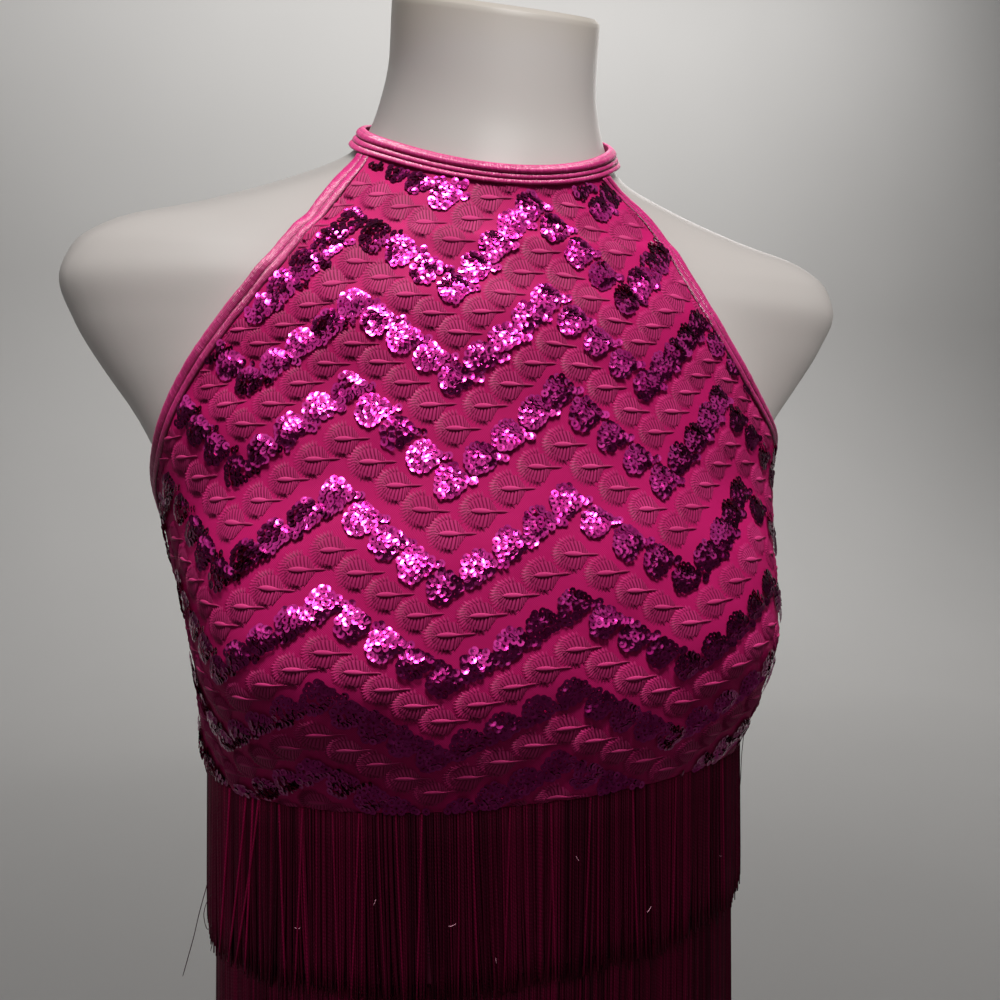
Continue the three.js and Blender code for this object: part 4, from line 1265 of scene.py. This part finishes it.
# brighter threads that cross the others: root angle, its slip along the hem (mm), shade
CROSSERS = [
    (-66.0, -9.0, 1.0), (-60.5, -12.0, 0.95), (-58.5, -5.0, 1.0), (-57.0, -14.0, 0.8), (-52.0, 3.0, 0.75), (-47.0, -3.5, 0.7),
    (-41.0, 2.5, 0.6), (-36.0, -3.0, 0.7), (-29.0, 3.0, 0.55), (-24.0, -2.0, 0.65), (-14.0, 2.5, 0.6), (-6.0, -2.5, 0.55), (3.0, 2.0, 0.6),
    (12.0, -3.0, 0.5), (22.0, 2.5, 0.55), (33.0, -2.0, 0.5), (48.0, 2.0, 0.5), (120.0, 5.0, 0.7), (165.0, -5.0, 0.6), (-150.0, 6.0, 0.7), (-110.0, -5.0, 0.7),
]
extra, es = [], []
for phi, slip, sh in CROSSERS:
    z0, z1 = float(hem_row(phi)) + TIER1["top"], TIER1["bottom"] + float(low_climb(phi)) + 0.5
    tt = np.linspace(0, 1, 6)
    P = hem_at(np.full(6, phi), z0 + (z1 - z0) * tt, -0.35)
    E = hem_at(np.full(6, phi + 0.5), z0 + (z1 - z0) * tt, -0.35) - P
    E[:, 2] = 0
    E /= np.linalg.norm(E, axis=1, keepdims=True)
    extra.append(P + E * (slip * tt**1.15)[:, None])
    es.append(sh)
SIDES = (4, 3, 3)
groups = [(p, r, s, n) for p, r, s, n in zip(paths1, rad1, shade1, SIDES)] + [(np.array(extra), np.full(len(extra), 0.46), np.array(es), 5)]
upper = tubes("upper_fringe_threads", groups, [FRINGE], ["fringe_upper"])
paths2, rad2, shade2 = tier("lower", TIER2, False, [], 22, lambda p: 1.2 * np.sin(np.radians(p) * 9) + 0.8 * np.sin(np.radians(p) * 23), ((-4.95, 0.96, 0.5), (-5.75, 0.98, 0.5), (-6.6, 1.05, 0.5)))
lower = tubes("lower_fringe_threads", [(p, r, s, n) for p, r, s, n in zip(paths2, rad2, shade2, SIDES)], [FRINGE], ["fringe_lower"])

# ---- pulled threads and lint
LOOSE_PATHS = [
    ([(-122.5, -28.2, 272.0), (-124.5, -27.7, 265.8), (-127.9, -26.8, 252.2), (-130.4, -26.1, 242.6), (-132.5, -25.6, 233.8), (-135.1, -24.9, 224.2), (-137.2, -24.3, 215.9)], 0.2),
    ([(-118.5, -33.4, 256.0), (-120.1, -33.0, 249.7), (-123.2, -32.2, 237.2), (-125.3, -31.6, 228.9)], 0.2),
    ([(-120.5, -32.9, 257.0), (-123.0, -32.3, 255.4), (-126.8, -31.3, 250.2), (-128.0, -30.9, 244.5), (-126.5, -31.3, 238.2), (-124.3, -31.9, 241.1), (-122.2, -32.2, 245.8)], 0.17),
    ([(130.5, -11.5, 313.0), (136.5, -12.2, 315.6), (140.9, -12.9, 314.8), (143.3, -13.5, 311.1), (143.8, -13.7, 306.3), (143.0, -13.5, 296.2), (142.2, -13.2, 286.7), (141.8, -13.1, 276.1), (140.4, -12.8, 263.3), (138.5, -12.3, 254.8)], 0.2),
]
LINT = [(-18.0, 262.0, 0.3, 3.2), (-33.0, 271.0, 1.2, 2.4), (9.0, 283.0, 2.2, 2.6), (26.0, 257.0, 0.8, 2.8), (47.0, 268.0, 2.7, 2.2), (-9.0, 247.0, 1.8, 2.0), (-48.0, 258.0, 0.1, 2.4)]
loose_groups = []
for pts, rad in LOOSE_PATHS:
    P = strand(pts, 22)
    wob = 0.25 * np.sin(np.linspace(0, 9, 22) + len(pts))[:, None] * np.array([0.5, 0.5, 0.0])
    loose_groups.append((P[None] + wob[None], np.array([rad]), np.array([0.4]), 6))
lint_groups = []
for phi, z, turn, size in LINT:
    t = np.linspace(-0.5, 0.5, 5)
    step = size / 2.1
    P = hem_at(phi + step * t * math.cos(turn), z + size * t * math.sin(turn), -0.25)
    P = P + np.array([0, 0, 0.5])[None] * (t**2 * 2)[:, None]
    lint_groups.append((P[None], np.array([0.12]), np.array([0.8]), 4))
loose = tubes("loose_threads", loose_groups + lint_groups, [LOOSE, LINT_FIBRE], [], [0] * len(loose_groups) + [1] * len(lint_groups))

# ---------------------------------------------------------------- CAD tapes that carry the fringe
for name in ("fringe_header_upper", "fringe_header_lower"):
    ob = frame["nodes"][name]
    ob.data.materials.clear()
    ob.data.materials.append(KNIT)

# ---------------------------------------------------------------- stage, lights, camera
def stage_mesh(name, verts, faces, mat):
    me = bpy.data.meshes.new(name)
    me.from_pydata([tuple(x) for x in verts], [], [tuple(int(i) for i in f) for f in faces])
    for p in me.polygons:
        p.use_smooth = True
    me.materials.append(mat)
    ob = bpy.data.objects.new(name, me)
    bpy.context.scene.collection.objects.link(ob)
    ob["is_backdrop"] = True
    return ob


m = Nodes("backdrop_paper")
o = m.obj()
m.set(Base_Color=m.mix(m.noise(o, 2.0, 2.0), srgb(214, 212, 210), srgb(206, 204, 202)), Roughness=0.9)
BACKDROP = m.mat
prof = [(-7.0, 0.0), (-2.0, 0.0), (1.15, 0.0)]
for a in np.radians(np.arange(5, 91, 5)):
    prof.append((1.15 + 1.0 * math.sin(a), 1.0 - 1.0 * math.cos(a)))
prof.append((2.15, 4.5))
xs = np.linspace(-9, 9, 13)
vs = [(x, y, z - 0.0002) for (y, z) in prof for x in xs]
nx = len(xs)
fs = [(j * nx + i, j * nx + i + 1, (j + 1) * nx + i + 1, (j + 1) * nx + i) for j in range(len(prof) - 1) for i in range(nx - 1)]
BACKDROP_OB = stage_mesh("backdrop", vs, fs, BACKDROP)


def area_light(name, loc, target, size, power, colour=(1, 1, 1), size_y=None, spread=180):
    L = bpy.data.lights.new(name, "AREA")
    L.energy, L.color = power, colour
    L.shape = "RECTANGLE" if size_y else "SQUARE"
    L.size = size
    if size_y:
        L.size_y = size_y
    L.spread = math.radians(spread)
    ob = bpy.data.objects.new(name, L)
    bpy.context.scene.collection.objects.link(ob)
    ob.location = loc
    ob.rotation_euler = (Vector(target) - Vector(loc)).to_track_quat("-Z", "Y").to_euler()
    return ob


def only_on(lamps, test):
    """Lamps that light only the pieces that the test names, so the paper stays dim."""
    c = bpy.data.collections.new("lit_by_" + lamps[0].name)
    bpy.context.scene.collection.children.link(c)
    for ob in list(bpy.context.scene.objects):
        if ob.type == "MESH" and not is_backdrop(ob) and test(ob.name):
            c.objects.link(ob)
    for lamp in lamps:
        lamp.light_linking.receiver_collection = c


WARM = (1.0, 0.985, 0.97)
key = area_light("key", (-0.14, -0.86, 2.7), (0.0, -0.1, 0.5), 0.6, 30, WARM, spread=100)
form_key = area_light("form_key", (0.05, -1.4, 1.5), (0.0, 0.0, 0.55), 1.0, 23, WARM)
box = area_light("sequin_box", (-1.15, -1.05, 1.1), (0.0, -0.1, 0.48), 2.2, 12.0, WARM, size_y=1.4)
high = area_light("sequin_high", (-0.15, -1.0, 1.75), (0.0, -0.1, 0.48), 1.6, 6.8, WARM, size_y=0.9)
front_box = area_light("sequin_front", (-0.12, -1.6, 1.0), (0.0, -0.1, 0.48), 1.3, 4.6, WARM, size_y=0.7)
spark = area_light("sequin_spark", (-0.75, -0.98, 1.3), (0.0, -0.1, 0.5), 0.3, 30, WARM)
spark2 = area_light("sequin_spark_b", (0.1, -0.95, 1.55), (0.0, -0.1, 0.5), 0.2, 10, WARM)
spark3 = area_light("sequin_spark_c", (-0.5, -1.3, 0.92), (0.0, -0.1, 0.45), 0.26, 17, WARM)
right_box = area_light("sequin_right", (1.0, -0.95, 1.35), (0.0, -0.1, 0.45), 1.3, 3.2, WARM, size_y=0.9)
back_soft = area_light("back_soft", (0.75, 1.5, 1.2), (0.0, 0.0, 0.4), 1.2, 8, WARM)
back_soft.visible_camera = False
low = area_light("fringe_fill", (-0.5, -0.95, 0.8), (0.0, 0.0, 0.25), 0.9, 4.0, WARM)
wash = area_light("wall_wash", (0.5, 0.85, 2.75), (0.3, 2.15, 1.75), 3.6, 12.5, (1.0, 0.995, 0.985), size_y=0.4, spread=100)
fill = area_light("paper_fill", (0.6, 0.75, 2.9), (0.9, 1.9, 0.1), 2.4, 13, (1.0, 0.995, 0.985), size_y=0.5, spread=100)
only_on([key], lambda n: n != form.name and "fringe" not in n)
only_on([form_key], lambda n: n == form.name)
only_on([box, high, front_box, spark, spark2, spark3, right_box], lambda n: "sequins" in n)
only_on([low], lambda n: "fringe" in n or "threads" in n)
only_on([back_soft], lambda n: True)
paper = bpy.data.collections.new("paper_only")
bpy.context.scene.collection.children.link(paper)
paper.objects.link(BACKDROP_OB)
fill.light_linking.receiver_collection = paper

world = bpy.data.worlds.new("studio")
bpy.context.scene.world = world
world.use_nodes = True
wn = world.node_tree
bg = wn.nodes["Background"]


def wadd(kind, *links):
    n = wn.nodes.new(kind)
    for i, l in enumerate(links):
        if isinstance(l, bpy.types.NodeSocket):
            wn.links.new(l, n.inputs[i])
        elif l is not None:
            n.inputs[i].default_value = l
    return n


direction = wn.nodes.new("ShaderNodeTexCoord").outputs["Generated"]
split = wadd("ShaderNodeSeparateXYZ", direction)
height = wadd("ShaderNodeMapRange", split.outputs[2], 0.04, 0.8, 0.0, 1.0)
height.interpolation_type = "SMOOTHSTEP"
dot = wadd("ShaderNodeVectorMath", direction, (-0.62, -0.78, 0.0))
dot.operation = "DOT_PRODUCT"
front_part = wadd("ShaderNodeMapRange", dot.outputs["Value"], -0.35, 0.75, 0.4, 1.0)
front_part.interpolation_type = "SMOOTHSTEP"
glow = wadd("ShaderNodeMath", height.outputs[0], front_part.outputs[0])
glow.operation = "MULTIPLY"
level = wadd("ShaderNodeMapRange", glow.outputs[0], 0.0, 1.0, 0.042, 0.20)
wn.links.new(level.outputs[0], bg.inputs["Strength"])
bg.inputs["Color"].default_value = (0.97, 0.985, 1.0, 1.0)

cam_data = bpy.data.cameras.new("camera")
cam = bpy.data.objects.new("camera", cam_data)
bpy.context.scene.collection.objects.link(cam)
cam.location = (-0.1043, -0.4379, 0.430)
cam.rotation_euler = (math.radians(90), 0, math.radians(-15))
cam_data.sensor_width = 36.0
cam_data.lens = 32.15
cam_data.shift_y = -0.013
cam_data.clip_start, cam_data.clip_end = 0.01, 50
bpy.context.scene.camera = cam
bpy.context.scene.view_settings.view_transform = "Standard"
